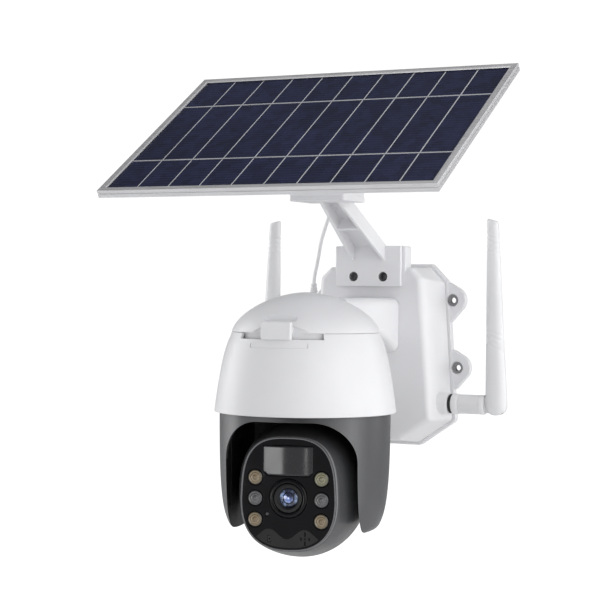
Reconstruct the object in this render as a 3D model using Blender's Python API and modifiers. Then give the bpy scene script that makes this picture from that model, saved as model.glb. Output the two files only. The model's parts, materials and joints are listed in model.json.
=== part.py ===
"""Solar-powered pan-and-tilt security camera: a wall box with batteries, a dome camera on its arm,
two folding antennas and a solar panel on a bracket.

World frame: origin at the centre of the box's wall face, +Y into the wall, -Y to the front, +X to the
camera's left hand as it looks out, +Z up.  All lengths are in metres.
"""

import math

import bmesh
import bpy
from mathutils import Matrix, Vector

MM = 0.001
GAP = 0.3 * MM                      # air left between pieces that touch

# --- battery box ---------------------------------------------------------------------------------
BOX_DEPTH = 40 * MM                 # wall face to front face
FLANGE_THICKNESS = 6 * MM           # rear shell, with the four ears
BOX_WALL = 2.6 * MM
# right-hand corners (half width, height) of the cover's front face and of its back edge
BOX_FRONT = ((23.5, -58.5), (47.0, -43.5), (39.3, 56.6), (32.0, 63.6))
BOX_BACK = ((24.6, -62.2), (50.4, -44.8), (43.6, 53.0), (32.6, 64.2))
BOX_EDGE_ROUND = 3.0 * MM
FLANGE_LIP = 2.2 * MM               # rear shell beyond the cover all round
EAR_HOLE_RADIUS = 3.0 * MM
EAR_COUNTERBORE_RADIUS = 4.4 * MM
EAR_COUNTERBORE_DEPTH = 3.0 * MM
EAR_RADIUS = 9.8 * MM
EAR_THICKNESS = 5.6 * MM
EAR_UPPER = (49.3 * MM, 40.5 * MM)
EAR_LOWER = (53.3 * MM, -7.8 * MM)
POCKET_HALF_WIDTH = 33 * MM
POCKET_HALF_HEIGHT = 41 * MM
POCKET_DEPTH = 3.4 * MM
COVER_SCREWS = ((34.4, 46.5), (40.5, -42.5))
COVER_SCREW_RADIUS = 1.5 * MM
COVER_SCREW_HEAD = 2.9 * MM
COVER_SCREW_LENGTH = 16 * MM
COVER_BOSS_RADIUS = 3.6 * MM
SEAL_WIDTH = 1.8 * MM
SEAL_HEIGHT = 1.6 * MM
CELL_RADIUS = 9.2 * MM              # 18650 cell with its sleeve
CELL_LENGTH = 65 * MM
CELL_COUNT = 3
TRAY_FLOOR = 1.6 * MM

# --- bracket -------------------------------------------------------------------------------------
TAB_HALF_WIDTH = 27.4 * MM
TAB_TOP = 78.7 * MM
TAB_DEPTH = 10.4 * MM
FOOT_HALF_WIDTH = 25 * MM
FOOT_BOTTOM = 50.0 * MM
FOOT_CORNER = 4 * MM
FOOT_THICKNESS = 3.4 * MM
FOOT_SCREW_X = 11.4 * MM
FOOT_SCREW_Z = 56.9 * MM
FOOT_SCREW_RADIUS = 1.7 * MM
FOOT_SCREW_HEAD = 3.0 * MM
FOOT_SCREW_LENGTH = 11 * MM
ARM_ROOT = (-43.4 * MM, 68.0 * MM)  # front edge of the channel, y and z, at the foot plate
ARM_ROOT_HALF = 13.3 * MM
ARM_TIP = (-111.0 * MM, 108.4 * MM)
ARM_TIP_HALF = 7.6 * MM
ARM_CHANNEL_DEPTH = 11.0 * MM
ARM_WEB = 2.4 * MM
PAD_HALF_WIDTH = 20.5 * MM
PAD_FRONT = -128.0 * MM
PAD_BACK = -94.0 * MM
PAD_HEIGHT = 106.6 * MM
PAD_THICKNESS = 4 * MM
SEAT_HALF_WIDTH = 30 * MM
SEAT_HALF_LENGTH = 22 * MM
SEAT_WALL = 2.6 * MM
SEAT_FLANGE = 8 * MM
SEAT_FLANGE_THICKNESS = 3 * MM
PANEL_SCREW_RADIUS = 1.5 * MM
PANEL_SCREW_HEAD = 2.9 * MM
PANEL_SCREW_HEAD_HEIGHT = 2 * MM

# --- solar panel ---------------------------------------------------------------------------------
PANEL_LENGTH = 240.2 * MM
PANEL_WIDTH = 166.4 * MM
PANEL_DEPTH = 5.8 * MM
PANEL_TILT = math.radians(32.07)
PANEL_CENTRE = (0.0, -139.7 * MM, 155.3 * MM)
FRAME_LIP = 3.2 * MM
FRAME_WALL = 1.5 * MM
FRAME_LIP_THICKNESS = 1.0 * MM
LAMINATE_THICKNESS = 2.8 * MM
JUNCTION_SIZE = (46 * MM, 30 * MM, 13 * MM)
JUNCTION_UP_SLOPE = 56 * MM
JUNCTION_GLAND = 6 * MM             # length of its cable gland
CABLE_RADIUS = 1.3 * MM
CABLE_STEP = 7.5 * MM                # between the points of its line, under three diameters
GLAND_RADIUS = 3.8 * MM
GLAND_X = -50.8 * MM                # upright body of the box's cable gland
GLAND_Y = -27 * MM
GLAND_Z = 30 * MM
GLAND_TOP = 52 * MM
GLAND_SLEEVE = 9 * MM
# the cable's own line from the junction box down to the gland, in millimetres
CABLE_ROUTE = ((-29.6, -86.4, 175.8), (-36.0, -86.6, 174.4), (-39.5, -85.5, 166.0), (-37.0, -81.0, 151.0),
               (-29.5, -72.0, 134.0), (-23.0, -62.0, 118.0), (-24.0, -55.0, 105.0), (-30.0, -50.0, 94.0),
               (-38.2, -40.5, 83.5), (-43.3, -34.0, 74.0), (-47.0, -30.0, 65.0), (-50.0, -27.4, 57.5),
               (-50.8, -27.0, 52.2))

# --- antennas ------------------------------------------------------------------------------------
ANTENNA_Y = -21.7 * MM
ANTENNA_Z = -32.4 * MM
SOCKET_RADIUS = 7.6 * MM
SOCKET_END = 54.6 * MM
KNUCKLE_RADIUS = 6.8 * MM
KNOB_RADIUS = 7.3 * MM
KNOB_LENGTH = 7.0 * MM
BLADE_AXIS = 89.4 * MM              # x of the fold pin
BLADE_ROOT_RADIUS = 7.8 * MM
BLADE_TIP_RADIUS = 4.0 * MM
BLADE_TOP = 98.0 * MM
FORK_SLOT = 5.4 * MM
TONGUE_RADIUS = 5.6 * MM
SPIGOT_RADIUS = 2.6 * MM
PIN_RADIUS = 1.6 * MM

# --- dome and arm --------------------------------------------------------------------------------
DOME_Y = -142 * MM                  # pan axis in front of the wall
RIM_Z = -33 * MM                    # hood rim
HOOD_WALL = 2.5 * MM
DOME_SIDES = 38                     # facets around the dome
# outline of the dome, radius and height above the rim; the seam is where the cap sits on the hood
HOOD_PROFILE = ((60.0, 0.0), (58.6, 11.0), (56.6, 24.0), (54.0, 37.0), (51.3, 46.0), (49.4, 50.4))
SEAM_RADIUS = 49.2
SEAM_HEIGHT = 50.7
CAP_HEIGHT = 28.0
CAP_ROUNDNESS = 1.72                # exponent of the cap's outline, 2 would be an ellipse
NECK_HALF_WIDTH = 22.5 * MM
NECK_TOP = 42.0 * MM
NECK_BOTTOM = 3.4 * MM
NECK_WALL = 3 * MM
NECK_ROUND = 6 * MM
CATCH_BEARING = math.radians(4.6)
CATCH_HALF_WIDTH = 10.2 * MM
CATCH_BOTTOM = 48.5 * MM            # heights above the rim
CATCH_TOP = 59.8 * MM
CATCH_INNER = 47.6 * MM
CATCH_OUTER = 52.2 * MM
POCKET_BACK = 40.6 * MM             # back wall of the finger pocket above the catch
SKIRT_RADIUS = 46.5 * MM            # spigot of the cap inside the hood, behind the seam slots
SKIRT_WALL = 1.2 * MM
SKIRT_BOTTOM = 45.5 * MM
SLOT_HEIGHT = 4.6 * MM
SLOT_LENGTH = 22 * MM

# --- pan drive -----------------------------------------------------------------------------------
PAN_REST = math.radians(12)
GEAR_MODULE = 2.0 * MM
PAN_GEAR_TEETH = 28
PAN_PINION_TEETH = 7
PAN_GEAR_Z = 6.2 * MM
GEAR_WIDTH = 4 * MM
PAN_BASE_Z = 13 * MM
PAN_BASE_THICKNESS = 3 * MM
PAN_BASE_RADIUS = 54.6 * MM
PAN_HUB_RADIUS = 10 * MM
PAN_HUB_BORE = 6.5 * MM
PAN_HUB_RISE = 5 * MM               # hub above the base
BEARING_RADIUS = 15 * MM
PAN_MOTOR_RADIUS = 14 * MM
PAN_MOTOR_LENGTH = 19 * MM
PAN_SHAFT_RADIUS = 2.2 * MM

# --- yoke and head -------------------------------------------------------------------------------
YOKE_TOP = 5.0 * MM                 # above the rim
YOKE_PROFILE = ((50.5, YOKE_TOP / MM), (55.0, 4.2), (56.3, 1.0), (56.2, -20.0), (55.5, -42.0),
                (53.6, -61.0), (50.0, -73.5), (45.5, -79.4), (38.0, -81.5))
YOKE_WALL = 2.6 * MM
YOKE_SLOT_HALF = 43.6 * MM
YOKE_SLOT_TOP = -3.4 * MM
YOKE_SLOT_ROUND = 26 * MM
YOKE_BACK_FOOT = -66 * MM           # lower edge of the wall behind the head
YOKE_ROOF = 2.6 * MM
ROOF_POCKET_RADIUS = 47 * MM
CHEEK_THICKNESS = 2.2 * MM
CHEEK_TOP = -11.0 * MM
CHEEK_BOTTOM = -64.0 * MM
TILT_Z = -50 * MM                   # tilt axis below the rim
TRUNNION_RADIUS = 6 * MM
TRUNNION_BORE = 3.6 * MM
TILT_GEAR_TEETH = 20
TILT_PINION_TEETH = 8
TILT_MODULE = 1.4 * MM
TILT_GEAR_X = 22 * MM
TILT_GEAR_WIDTH = 3 * MM
TILT_MOTOR_RADIUS = 10 * MM
TILT_MOTOR_LENGTH = 16 * MM
TILT_SHAFT_RADIUS = 1.8 * MM
HEAD_HALF_WIDTH = 42.3 * MM
HEAD_HALF_HEIGHT = 45.0 * MM
HEAD_BACK = 42.0 * MM
HEAD_WALL = 2.4 * MM
HEAD_SIDES = 36
FACE_DISTANCE = 42.0 * MM           # face plate's front, in front of the tilt axis
FACE_THICKNESS = 2.6 * MM
FACE_HALF_WIDTH = 31.2 * MM
FACE_HALF_HEIGHT = 36.2 * MM
FACE_SHOULDER = 3.0                 # outline exponents above and below the middle
FACE_CHIN = 2.45
FACE_TAPER = 0.05
FACE_SIDES = 40
SHELL_STEP = 0.9 * MM               # head shell outside the face plate
LENS_Z = -2.5 * MM
LENS_RING_RADIUS = 12.4 * MM
LENS_BARREL_RADIUS = 9.2 * MM
LENS_GLASS_RADIUS = 6.2 * MM
LENS_RECESS = 3.2 * MM              # glass's seat behind the barrel's front
LENS_CROWN = 2.0 * MM
LENS_BACK = 20 * MM                 # rear of the barrel, in front of the tilt axis
LED_RADIUS = 4.9 * MM
LED_COLUMN = 21.8 * MM
LED_ROWS = (10.3 * MM, -3.0 * MM, -16.6 * MM)
PIR_HALF_WIDTH = 16.3 * MM
PIR_BOTTOM = 11.9 * MM
PIR_TOP = 30.8 * MM
PIR_BULGE = 1.6 * MM
MICROPHONE = (-12.2 * MM, -28.6 * MM)
MICROPHONE_RADIUS = 2.2 * MM
SPEAKER = (11.4 * MM, -28.0 * MM)
SPEAKER_RADIUS = 4.6 * MM
SENSOR = (-13.9 * MM, -12.9 * MM)
SENSOR_RADIUS = 1.5 * MM
LED_BOARD_INSET = 4.2 * MM
BOARD_THICKNESS = 1.6 * MM
MAIN_BOARD_Z = 41 * MM              # above the rim


# --- scene, materials and basic shapes -----------------------------------------------------------
def clear_scene():
    for obj in list(bpy.data.objects):
        bpy.data.objects.remove(obj, do_unlink=True)


def new_collection(name, hidden=False):
    collection = bpy.data.collections.new(name)
    collection.hide_render = hidden
    bpy.context.scene.collection.children.link(collection)
    return collection


clear_scene()
PARTS = new_collection("solar_security_camera")
CUTTERS = new_collection("cutters", hidden=True)


def material(name, colour, roughness, metallic=0.0):
    made = bpy.data.materials.new(name)
    made.use_nodes = True
    shader = made.node_tree.nodes["Principled BSDF"]
    shader.inputs["Base Color"].default_value = (*colour, 1.0)
    shader.inputs["Roughness"].default_value = roughness
    shader.inputs["Metallic"].default_value = metallic
    return made


WHITE_PLASTIC = material("white_plastic", (0.82, 0.82, 0.83), 0.38)
GREY_PLASTIC = material("dark_grey_plastic", (0.085, 0.087, 0.092), 0.42)
BLACK_GLOSS = material("black_gloss", (0.008, 0.008, 0.009), 0.10)
BLACK_PLASTIC = material("black_plastic", (0.02, 0.02, 0.02), 0.5)
ALUMINIUM = material("anodised_aluminium", (0.62, 0.62, 0.64), 0.35, 1.0)
CELLS_BLUE = material("solar_cells", (0.010, 0.012, 0.035), 0.22)
STEEL = material("steel", (0.45, 0.45, 0.46), 0.3, 1.0)
DARK_STEEL = material("dark_steel", (0.08, 0.08, 0.085), 0.4, 1.0)
GREEN_BOARD = material("circuit_board", (0.02, 0.12, 0.05), 0.5)
GREEN_SLEEVE = material("cell_sleeve", (0.03, 0.16, 0.22), 0.4)
RUBBER = material("rubber", (0.03, 0.03, 0.03), 0.8)
NYLON = material("natural_nylon", (0.75, 0.73, 0.68), 0.5)
GLASS = material("lens_glass", (0.05, 0.06, 0.12), 0.05)
LED_CLEAR = material("led_clear", (0.55, 0.55, 0.55), 0.12)
LED_AMBER = material("led_amber", (0.75, 0.55, 0.28), 0.12)


def frame_empty(name, location, parent=None, turn=(0.0, 0.0, 0.0)):
    empty = bpy.data.objects.new(name, None)
    empty.location = location
    empty.rotation_euler = turn
    empty.parent = parent
    PARTS.objects.link(empty)
    return empty


def add(name, mesh, look, parent=None, sharp=35):
    obj = bpy.data.objects.new(name, mesh)
    obj.parent = parent
    PARTS.objects.link(obj)
    if look is not None:
        mesh.materials.clear()
        mesh.materials.append(look)
    mesh.shade_smooth()
    mesh.set_sharp_from_angle(angle=math.radians(sharp))
    return obj


def mesh_of(name, bm):
    bmesh.ops.recalc_face_normals(bm, faces=bm.faces[:])
    mesh = bpy.data.meshes.new(name)
    bm.to_mesh(mesh)
    bm.free()
    return mesh


def block(name, size, centre, look=None, parent=None, bevel=0.0):
    bm = bmesh.new()
    bmesh.ops.create_cube(bm, size=1.0, matrix=Matrix.Diagonal((*size, 1.0)))
    obj = add(name, mesh_of(name, bm), look, parent)
    obj.location = centre
    if bevel:
        round_edges(obj, bevel)
    return obj


def round_edges(obj, width, segments=2, angle=40):
    modifier = obj.modifiers.new("rounding", "BEVEL")
    modifier.width = width
    modifier.segments = segments
    modifier.limit_method = "ANGLE"
    modifier.angle_limit = math.radians(angle)


def rod(name, start, end, radius, look=None, parent=None, end_radius=None, sides=24):
    """A cylinder or cone from start to end."""
    start, end = Vector(start), Vector(end)
    bm = bmesh.new()
    bmesh.ops.create_cone(bm, cap_ends=True, segments=sides, radius1=radius,
                          radius2=radius if end_radius is None else end_radius,
                          depth=(end - start).length)
    obj = add(name, mesh_of(name, bm), look, parent)
    obj.location = (start + end) / 2
    obj.rotation_euler = (end - start).to_track_quat("Z", "Y").to_euler()
    return obj


def turned(name, profile, look=None, parent=None, location=(0, 0, 0), turn=(0, 0, 0), steps=48, sharp=35):
    """A closed profile (radius, height), outer side listed top to bottom, turned about local Z."""
    bm = bmesh.new()
    corners = [bm.verts.new((radius, 0.0, height)) for radius, height in profile]
    ends = [] if profile[0][0] == 0 and profile[-1][0] == 0 else [(corners[-1], corners[0])]
    for edge in list(zip(corners, corners[1:])) + ends:
        bm.edges.new(edge)
    mesh = bpy.data.meshes.new(name)
    bm.to_mesh(mesh)
    bm.free()
    obj = add(name, mesh, look, parent, sharp)
    obj.location = location
    obj.rotation_euler = turn
    screw = obj.modifiers.new("turned", "SCREW")
    screw.steps = steps
    screw.render_steps = steps
    screw.use_merge_vertices = True
    screw.merge_threshold = 0.00001
    return obj


def plate(name, outline, thickness, look=None, parent=None, location=(0, 0, 0), turn=(0, 0, 0)):
    """A flat outline in local XY, half its thickness either side of the location."""
    curve = bpy.data.curves.new(name, "CURVE")
    curve.dimensions = "2D"
    curve.fill_mode = "BOTH"
    curve.extrude = thickness / 2
    spline = curve.splines.new("POLY")
    spline.points.add(len(outline) - 1)
    for point, (x, y) in zip(spline.points, outline):
        point.co = (x, y, 0.0, 1.0)
    spline.use_cyclic_u = True
    return curve_to_mesh(name, curve, look, parent, location, turn)


def curve_to_mesh(name, curve, look, parent, location=(0, 0, 0), turn=(0, 0, 0)):
    guide = bpy.data.objects.new(name + "_curve", curve)
    PARTS.objects.link(guide)
    bpy.context.view_layer.update()
    shape = guide.evaluated_get(bpy.context.evaluated_depsgraph_get())
    mesh = bpy.data.meshes.new_from_object(shape)
    bpy.data.objects.remove(guide, do_unlink=True)
    bm = bmesh.new()
    bm.from_mesh(mesh)
    bmesh.ops.remove_doubles(bm, verts=bm.verts[:], dist=0.00001)
    bmesh.ops.recalc_face_normals(bm, faces=bm.faces[:])
    bm.to_mesh(mesh)
    bm.free()
    obj = add(name, mesh, look, parent)
    obj.location = location
    obj.rotation_euler = turn
    return obj


def loft(name, rings, look=None, parent=None, open_start=False, open_end=False, sharp=35):
    """Skin between rings of equally many points; an end is capped unless it is open."""
    bm = bmesh.new()
    rows = [[bm.verts.new(point) for point in ring] for ring in rings]
    count = len(rows[0])
    for low, high in zip(rows, rows[1:]):
        for i in range(count):
            bm.faces.new((low[i], low[(i + 1) % count], high[(i + 1) % count], high[i]))
    if not open_start:
        bm.faces.new(rows[0][::-1])
    if not open_end:
        bm.faces.new(rows[-1])
    return add(name, mesh_of(name, bm), look, parent, sharp)


def combine(obj, tool, operation):
    """Boolean of obj with a tool that is kept out of the model."""
    PARTS.objects.unlink(tool)
    CUTTERS.objects.link(tool)
    tool.parent = obj.parent
    tool.hide_render = True
    tool.display_type = "WIRE"
    modifier = obj.modifiers.new(operation.lower(), "BOOLEAN")
    modifier.operation = operation
    modifier.solver = "EXACT"
    modifier.object = tool
    return obj


def cut(obj, *tools):
    for tool in tools:
        combine(obj, tool, "DIFFERENCE")
    return obj


def join(obj, *tools):
    for tool in tools:
        combine(obj, tool, "UNION")
    return obj


# --- outlines ------------------------------------------------------------------------------------
UPRIGHT = (math.radians(90), 0, 0)  # local XY becomes world XZ, local Z points to -Y


def arc(centre, radius, start, end, steps):
    """Points on an arc, angles in degrees."""
    angles = [math.radians(start + (end - start) * i / steps) for i in range(steps + 1)]
    return [(centre[0] + radius * math.cos(a), centre[1] + radius * math.sin(a)) for a in angles]


def rounded_rectangle(half_width, bottom, top, radius, steps=5):
    corners = ((half_width - radius, top - radius, 0), (radius - half_width, top - radius, 90),
               (radius - half_width, bottom + radius, 180), (half_width - radius, bottom + radius, 270))
    points = []
    for x, y, start in corners:
        points += arc((x, y), radius, start, start + 90, steps)
    return points


def grown(outline, distance):
    """A convex outline, listed anticlockwise, moved outwards by a distance."""
    result = []
    count = len(outline)
    for i in range(count):
        before, here, after = (Vector(outline[(i + k) % count]) for k in (-1, 0, 1))
        first, second = (here - before).normalized(), (after - here).normalized()
        out_first, out_second = Vector((first.y, -first.x)), Vector((second.y, -second.x))
        middle = (out_first + out_second).normalized()
        result.append(tuple(here + middle * distance / middle.dot(out_first)))
    return result


def box_outline(share, distance=0.0):
    """Cover outline between its front face (0) and its back edge (1), moved out by a distance."""
    right = [tuple((a + (b - a) * share) * MM for a, b in zip(front, back))
             for front, back in zip(BOX_FRONT, BOX_BACK)]
    return grown(right + [(-x, z) for x, z in reversed(right)], distance)


def superellipse_point(angle, half_width, half_height, upper, lower, taper):
    power = upper if math.sin(angle) >= 0 else lower
    x = half_width * math.copysign(abs(math.cos(angle)) ** (2 / power), math.cos(angle))
    z = half_height * math.copysign(abs(math.sin(angle)) ** (2 / power), math.sin(angle))
    return x * (1 - taper * z / half_height), z


def face_outline(distance=0.0):
    return [superellipse_point(2 * math.pi * i / FACE_SIDES, FACE_HALF_WIDTH + distance,
                               FACE_HALF_HEIGHT + distance, FACE_SHOULDER, FACE_CHIN, FACE_TAPER)
            for i in range(FACE_SIDES)]


def gear_outline(teeth, module):
    """Straight-flanked teeth with generous backlash."""
    pitch = teeth * module / 2
    outline = []
    for tooth in range(teeth):
        middle = 2 * math.pi * tooth / teeth
        for share, radius in ((-0.24, pitch - 1.05 * module), (-0.11, pitch + 0.75 * module),
                              (0.11, pitch + 0.75 * module), (0.24, pitch - 1.05 * module)):
            angle = middle + share * 2 * math.pi / teeth
            outline.append((radius * math.cos(angle), radius * math.sin(angle)))
    return outline


# --- battery box ---------------------------------------------------------------------------------
COVER_BACK = -(FLANGE_THICKNESS + GAP)


def cover_screw_places():
    return [(side * x * MM, z * MM) for x, z in COVER_SCREWS for side in (-1, 1)]


def ear_outline(side, place):
    """Round lug with straight flanks running back under the box."""
    x, z = place
    round_end = arc((x, z), EAR_RADIUS, -52, 62, 6)
    root = x - 14 * MM
    outline = [(root, z - 15 * MM), (x - 1 * MM, z - 15.5 * MM)] + round_end
    outline += [(x - 4 * MM, z + 13 * MM), (root, z + 13 * MM)]
    return [(side * px, pz) for px, pz in outline]


def make_rear_shell():
    middle = -FLANGE_THICKNESS / 2
    shell = plate("box_rear_shell", box_outline(1, FLANGE_LIP), FLANGE_THICKNESS, WHITE_PLASTIC,
                  location=(0, middle, 0), turn=UPRIGHT)
    for side in (-1, 1):
        for place in (EAR_UPPER, EAR_LOWER):
            join(shell, plate("ear", ear_outline(side, place), EAR_THICKNESS,
                              location=(0, -EAR_THICKNESS / 2, 0), turn=UPRIGHT))
    pocket = rounded_rectangle(POCKET_HALF_WIDTH, -POCKET_HALF_HEIGHT, POCKET_HALF_HEIGHT, 5 * MM, 2)
    cut(shell, plate("pocket", pocket, 2 * POCKET_DEPTH, location=(0, -FLANGE_THICKNESS, 0), turn=UPRIGHT))
    for side in (-1, 1):
        for x, z in (EAR_UPPER, EAR_LOWER):
            centre = side * x
            front = -EAR_THICKNESS
            cut(shell,
                rod("ear_hole", (centre, 5 * MM, z), (centre, -15 * MM, z), EAR_HOLE_RADIUS, sides=16),
                rod("ear_counterbore", (centre, front + EAR_COUNTERBORE_DEPTH, z),
                    (centre, -15 * MM, z), EAR_COUNTERBORE_RADIUS, sides=16))
    for x, z in cover_screw_places():
        cut(shell,
            rod("screw_hole", (x, 5 * MM, z), (x, -15 * MM, z), COVER_SCREW_RADIUS + GAP, sides=12),
            rod("head_hole", (x, 5 * MM, z), (x, -2.6 * MM, z), COVER_SCREW_HEAD + GAP, sides=12))
    return shell


def make_cover():
    front = -BOX_DEPTH

    def ring(distance, y):
        share = (y - front) / (COVER_BACK - front)
        return [(x, y, z) for x, z in box_outline(share, distance)]

    rings = [ring(0, COVER_BACK),
             ring(0, front + BOX_EDGE_ROUND),
             ring(-0.29 * BOX_EDGE_ROUND, front + 0.29 * BOX_EDGE_ROUND),
             ring(-BOX_EDGE_ROUND, front)]
    cover = loft("box_front_cover", rings, WHITE_PLASTIC)
    hollow = loft("cover_hollow", [ring(-BOX_WALL, COVER_BACK + 1 * MM),
                                   ring(-BOX_WALL, front + BOX_WALL)])
    cut(cover, hollow)
    for x, z in cover_screw_places():
        join(cover, rod("boss", (x, COVER_BACK, z), (x, front + BOX_WALL / 2, z),
                        COVER_BOSS_RADIUS, sides=12))
    tab_height = TAB_TOP - FOOT_BOTTOM
    join(cover, block("tab", (2 * TAB_HALF_WIDTH, TAB_DEPTH, tab_height),
                      (0, front + TAB_DEPTH / 2, FOOT_BOTTOM + tab_height / 2)))
    for x, z in cover_screw_places():
        cut(cover, rod("pilot", (x, 0, z), (x, -COVER_SCREW_LENGTH - 1 * MM, z),
                       COVER_SCREW_RADIUS + GAP, sides=12))
    for side in (-1, 1):
        x = side * FOOT_SCREW_X
        cut(cover,
            rod("foot_pilot", (x, front - 5 * MM, FOOT_SCREW_Z), (x, front + 9.2 * MM, FOOT_SCREW_Z),
                FOOT_SCREW_RADIUS + GAP, sides=16),
            rod("socket_hole", (side * 30 * MM, ANTENNA_Y, ANTENNA_Z),
                (side * 70 * MM, ANTENNA_Y, ANTENNA_Z), SOCKET_RADIUS + GAP))
    cut(cover, rod("gland_hole", (-30 * MM, GLAND_Y, GLAND_Z), (-60 * MM, GLAND_Y, GLAND_Z),
                   GLAND_RADIUS + GAP, sides=24))
    wires = rounded_rectangle(NECK_HALF_WIDTH - NECK_WALL - 4 * MM, NECK_BOTTOM + 8 * MM,
                              NECK_TOP - 8 * MM, 4 * MM)
    cut(cover, plate("wire_window", wires, 12 * MM, location=(0, front, 0), turn=UPRIGHT))
    return cover


def make_seal():
    outer = box_outline(1, -BOX_WALL - GAP)
    seal = plate("box_seal", outer, SEAL_HEIGHT, RUBBER,
                 location=(0, COVER_BACK - SEAL_HEIGHT / 2, 0), turn=UPRIGHT)
    cut(seal, plate("seal_opening", grown(outer, -SEAL_WIDTH), 6 * MM,
                    location=(0, COVER_BACK, 0), turn=UPRIGHT))
    for x, z in cover_screw_places():
        cut(seal, rod("seal_boss_gap", (x, 0, z), (x, -20 * MM, z), COVER_BOSS_RADIUS + GAP, sides=12))
    return seal


def make_cover_screws():
    for number, (x, z) in enumerate(cover_screw_places(), 1):
        screw_at("cover_screw_%d" % number, (x, -0.3 * MM, z), (0, -1, 0), COVER_SCREW_RADIUS,
                 COVER_SCREW_HEAD, 2.0 * MM, COVER_SCREW_LENGTH, STEEL)


def screw_at(name, top, direction, radius, head_radius, head_height, length, look, parent=None):
    """Pan-head screw whose head's outer face is at top and whose shank runs along direction."""
    profile = [(0, 0), (head_radius * 0.8, 0), (head_radius, -head_height * 0.35),
               (head_radius, -head_height), (radius, -head_height), (radius, -length), (0, -length)]
    turn = (-Vector(direction)).to_track_quat("Z", "Y").to_euler()
    return turned(name, profile, look, parent, top, turn, steps=12)


def make_batteries():
    tray_front = -(FLANGE_THICKNESS - POCKET_DEPTH) - GAP
    pitch = 2 * CELL_RADIUS + 1.2 * MM
    axis_y = tray_front - TRAY_FLOOR - CELL_RADIUS - GAP
    width = CELL_COUNT * pitch + 2 * MM
    low, high = -CELL_LENGTH / 2 - 2.4 * MM, CELL_LENGTH / 2 + 2.4 * MM
    tray = block("battery_tray", (width, CELL_RADIUS + TRAY_FLOOR, high - low),
                 (0, tray_front - (CELL_RADIUS + TRAY_FLOOR) / 2, 0), BLACK_PLASTIC)
    for number in range(CELL_COUNT):
        x = (number - (CELL_COUNT - 1) / 2) * pitch
        bottom, top = (x, axis_y, -CELL_LENGTH / 2), (x, axis_y, CELL_LENGTH / 2)
        grow = Vector((0, 0, GAP))
        cut(tray, rod("cell_bed", Vector(bottom) - grow, Vector(top) + grow, CELL_RADIUS + GAP, sides=24))
        rod("battery_cell_%d" % (number + 1), bottom, top, CELL_RADIUS, GREEN_SLEEVE, sides=24)
    board = block("charge_board", (2 * POCKET_HALF_WIDTH - 8 * MM, BOARD_THICKNESS, 17 * MM),
                  (0, -12 * MM, -46 * MM), GREEN_BOARD)
    join(board, block("charge_choke", (12 * MM, 8 * MM, 10 * MM), (-14 * MM, -16 * MM, -46 * MM)),
         block("charge_plug", (10 * MM, 6 * MM, 7 * MM), (14 * MM, -15 * MM, -46 * MM)))


# --- solar panel and bracket ---------------------------------------------------------------------
def make_panel():
    seat = frame_empty("panel_plane", PANEL_CENTRE, turn=(PANEL_TILT, 0, 0))
    length, width = PANEL_LENGTH, PANEL_WIDTH
    frame = block("panel_frame", (length, width, PANEL_DEPTH), (0, 0, -PANEL_DEPTH / 2), ALUMINIUM, seat)
    opening = 2 * (FRAME_LIP + FRAME_WALL)
    groove = 2 * FRAME_WALL
    cut(frame, block("panel_window", (length - opening, width - opening, 3 * PANEL_DEPTH), (0, 0, 0)),
        block("panel_groove", (length - groove, width - groove, PANEL_DEPTH - 2 * FRAME_LIP_THICKNESS),
              (0, 0, -PANEL_DEPTH / 2)))
    top = -FRAME_LIP_THICKNESS - GAP
    block("panel_laminate", (length - groove - 2 * GAP, width - groove - 2 * GAP, LAMINATE_THICKNESS),
          (0, 0, top - LAMINATE_THICKNESS / 2), CELLS_BLUE, seat)
    back = top - LAMINATE_THICKNESS - GAP
    wide, long, deep = JUNCTION_SIZE
    junction = block("junction_box", (wide, long, deep), (0, JUNCTION_UP_SLOPE, back - deep / 2),
                     BLACK_PLASTIC, seat, bevel=1.5 * MM)
    gland_z = back - deep / 2
    gland_end = -wide / 2 - JUNCTION_GLAND
    join(junction, rod("junction_gland", (2 * MM - wide / 2, JUNCTION_UP_SLOPE, gland_z),
                       (gland_end, JUNCTION_UP_SLOPE, gland_z), 3.4 * MM, sides=16))
    return seat, back


def make_bracket(seat, laminate_back):
    front = -BOX_DEPTH - GAP
    corner = FOOT_CORNER
    foot_outline = [(FOOT_HALF_WIDTH, FOOT_BOTTOM), (FOOT_HALF_WIDTH, TAB_TOP),
                    (corner - FOOT_HALF_WIDTH, TAB_TOP), (-FOOT_HALF_WIDTH, TAB_TOP - corner),
                    (-FOOT_HALF_WIDTH, FOOT_BOTTOM)]
    bracket = plate("panel_bracket", foot_outline, FOOT_THICKNESS, WHITE_PLASTIC,
                    location=(0, front - FOOT_THICKNESS / 2, 0), turn=UPRIGHT)
    stem, stem_hollow = make_stem(seat, laminate_back)
    join(bracket, make_arm_channel(), stem)
    cut(bracket, stem_hollow)
    add_panel_screws(bracket, seat, laminate_back)
    for side in (-1, 1):
        x = side * FOOT_SCREW_X
        cut(bracket,
            rod("foot_hole", (x, front + 5 * MM, FOOT_SCREW_Z), (x, front - 9 * MM, FOOT_SCREW_Z),
                FOOT_SCREW_RADIUS + GAP, sides=16),
            rod("foot_counterbore", (x, front - FOOT_THICKNESS + 1.9 * MM, FOOT_SCREW_Z),
                (x, front - 12 * MM, FOOT_SCREW_Z), FOOT_SCREW_HEAD + GAP, sides=20))
        screw_at("bracket_screw_" + ("left" if side < 0 else "right"),
                 (x, front - FOOT_THICKNESS + 0.2 * MM, FOOT_SCREW_Z), (0, 1, 0), FOOT_SCREW_RADIUS,
                 FOOT_SCREW_HEAD, 1.6 * MM, FOOT_SCREW_LENGTH, DARK_STEEL)
    return bracket


def arm_frame():
    """Start of the channel's front edges, the direction along it and the direction up to its web."""
    root = Vector((0, *ARM_ROOT))
    along = (Vector((0, *ARM_TIP)) - root)
    up = Vector((0, -along.z, along.y)).normalized() * -1
    return root, along, up


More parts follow.
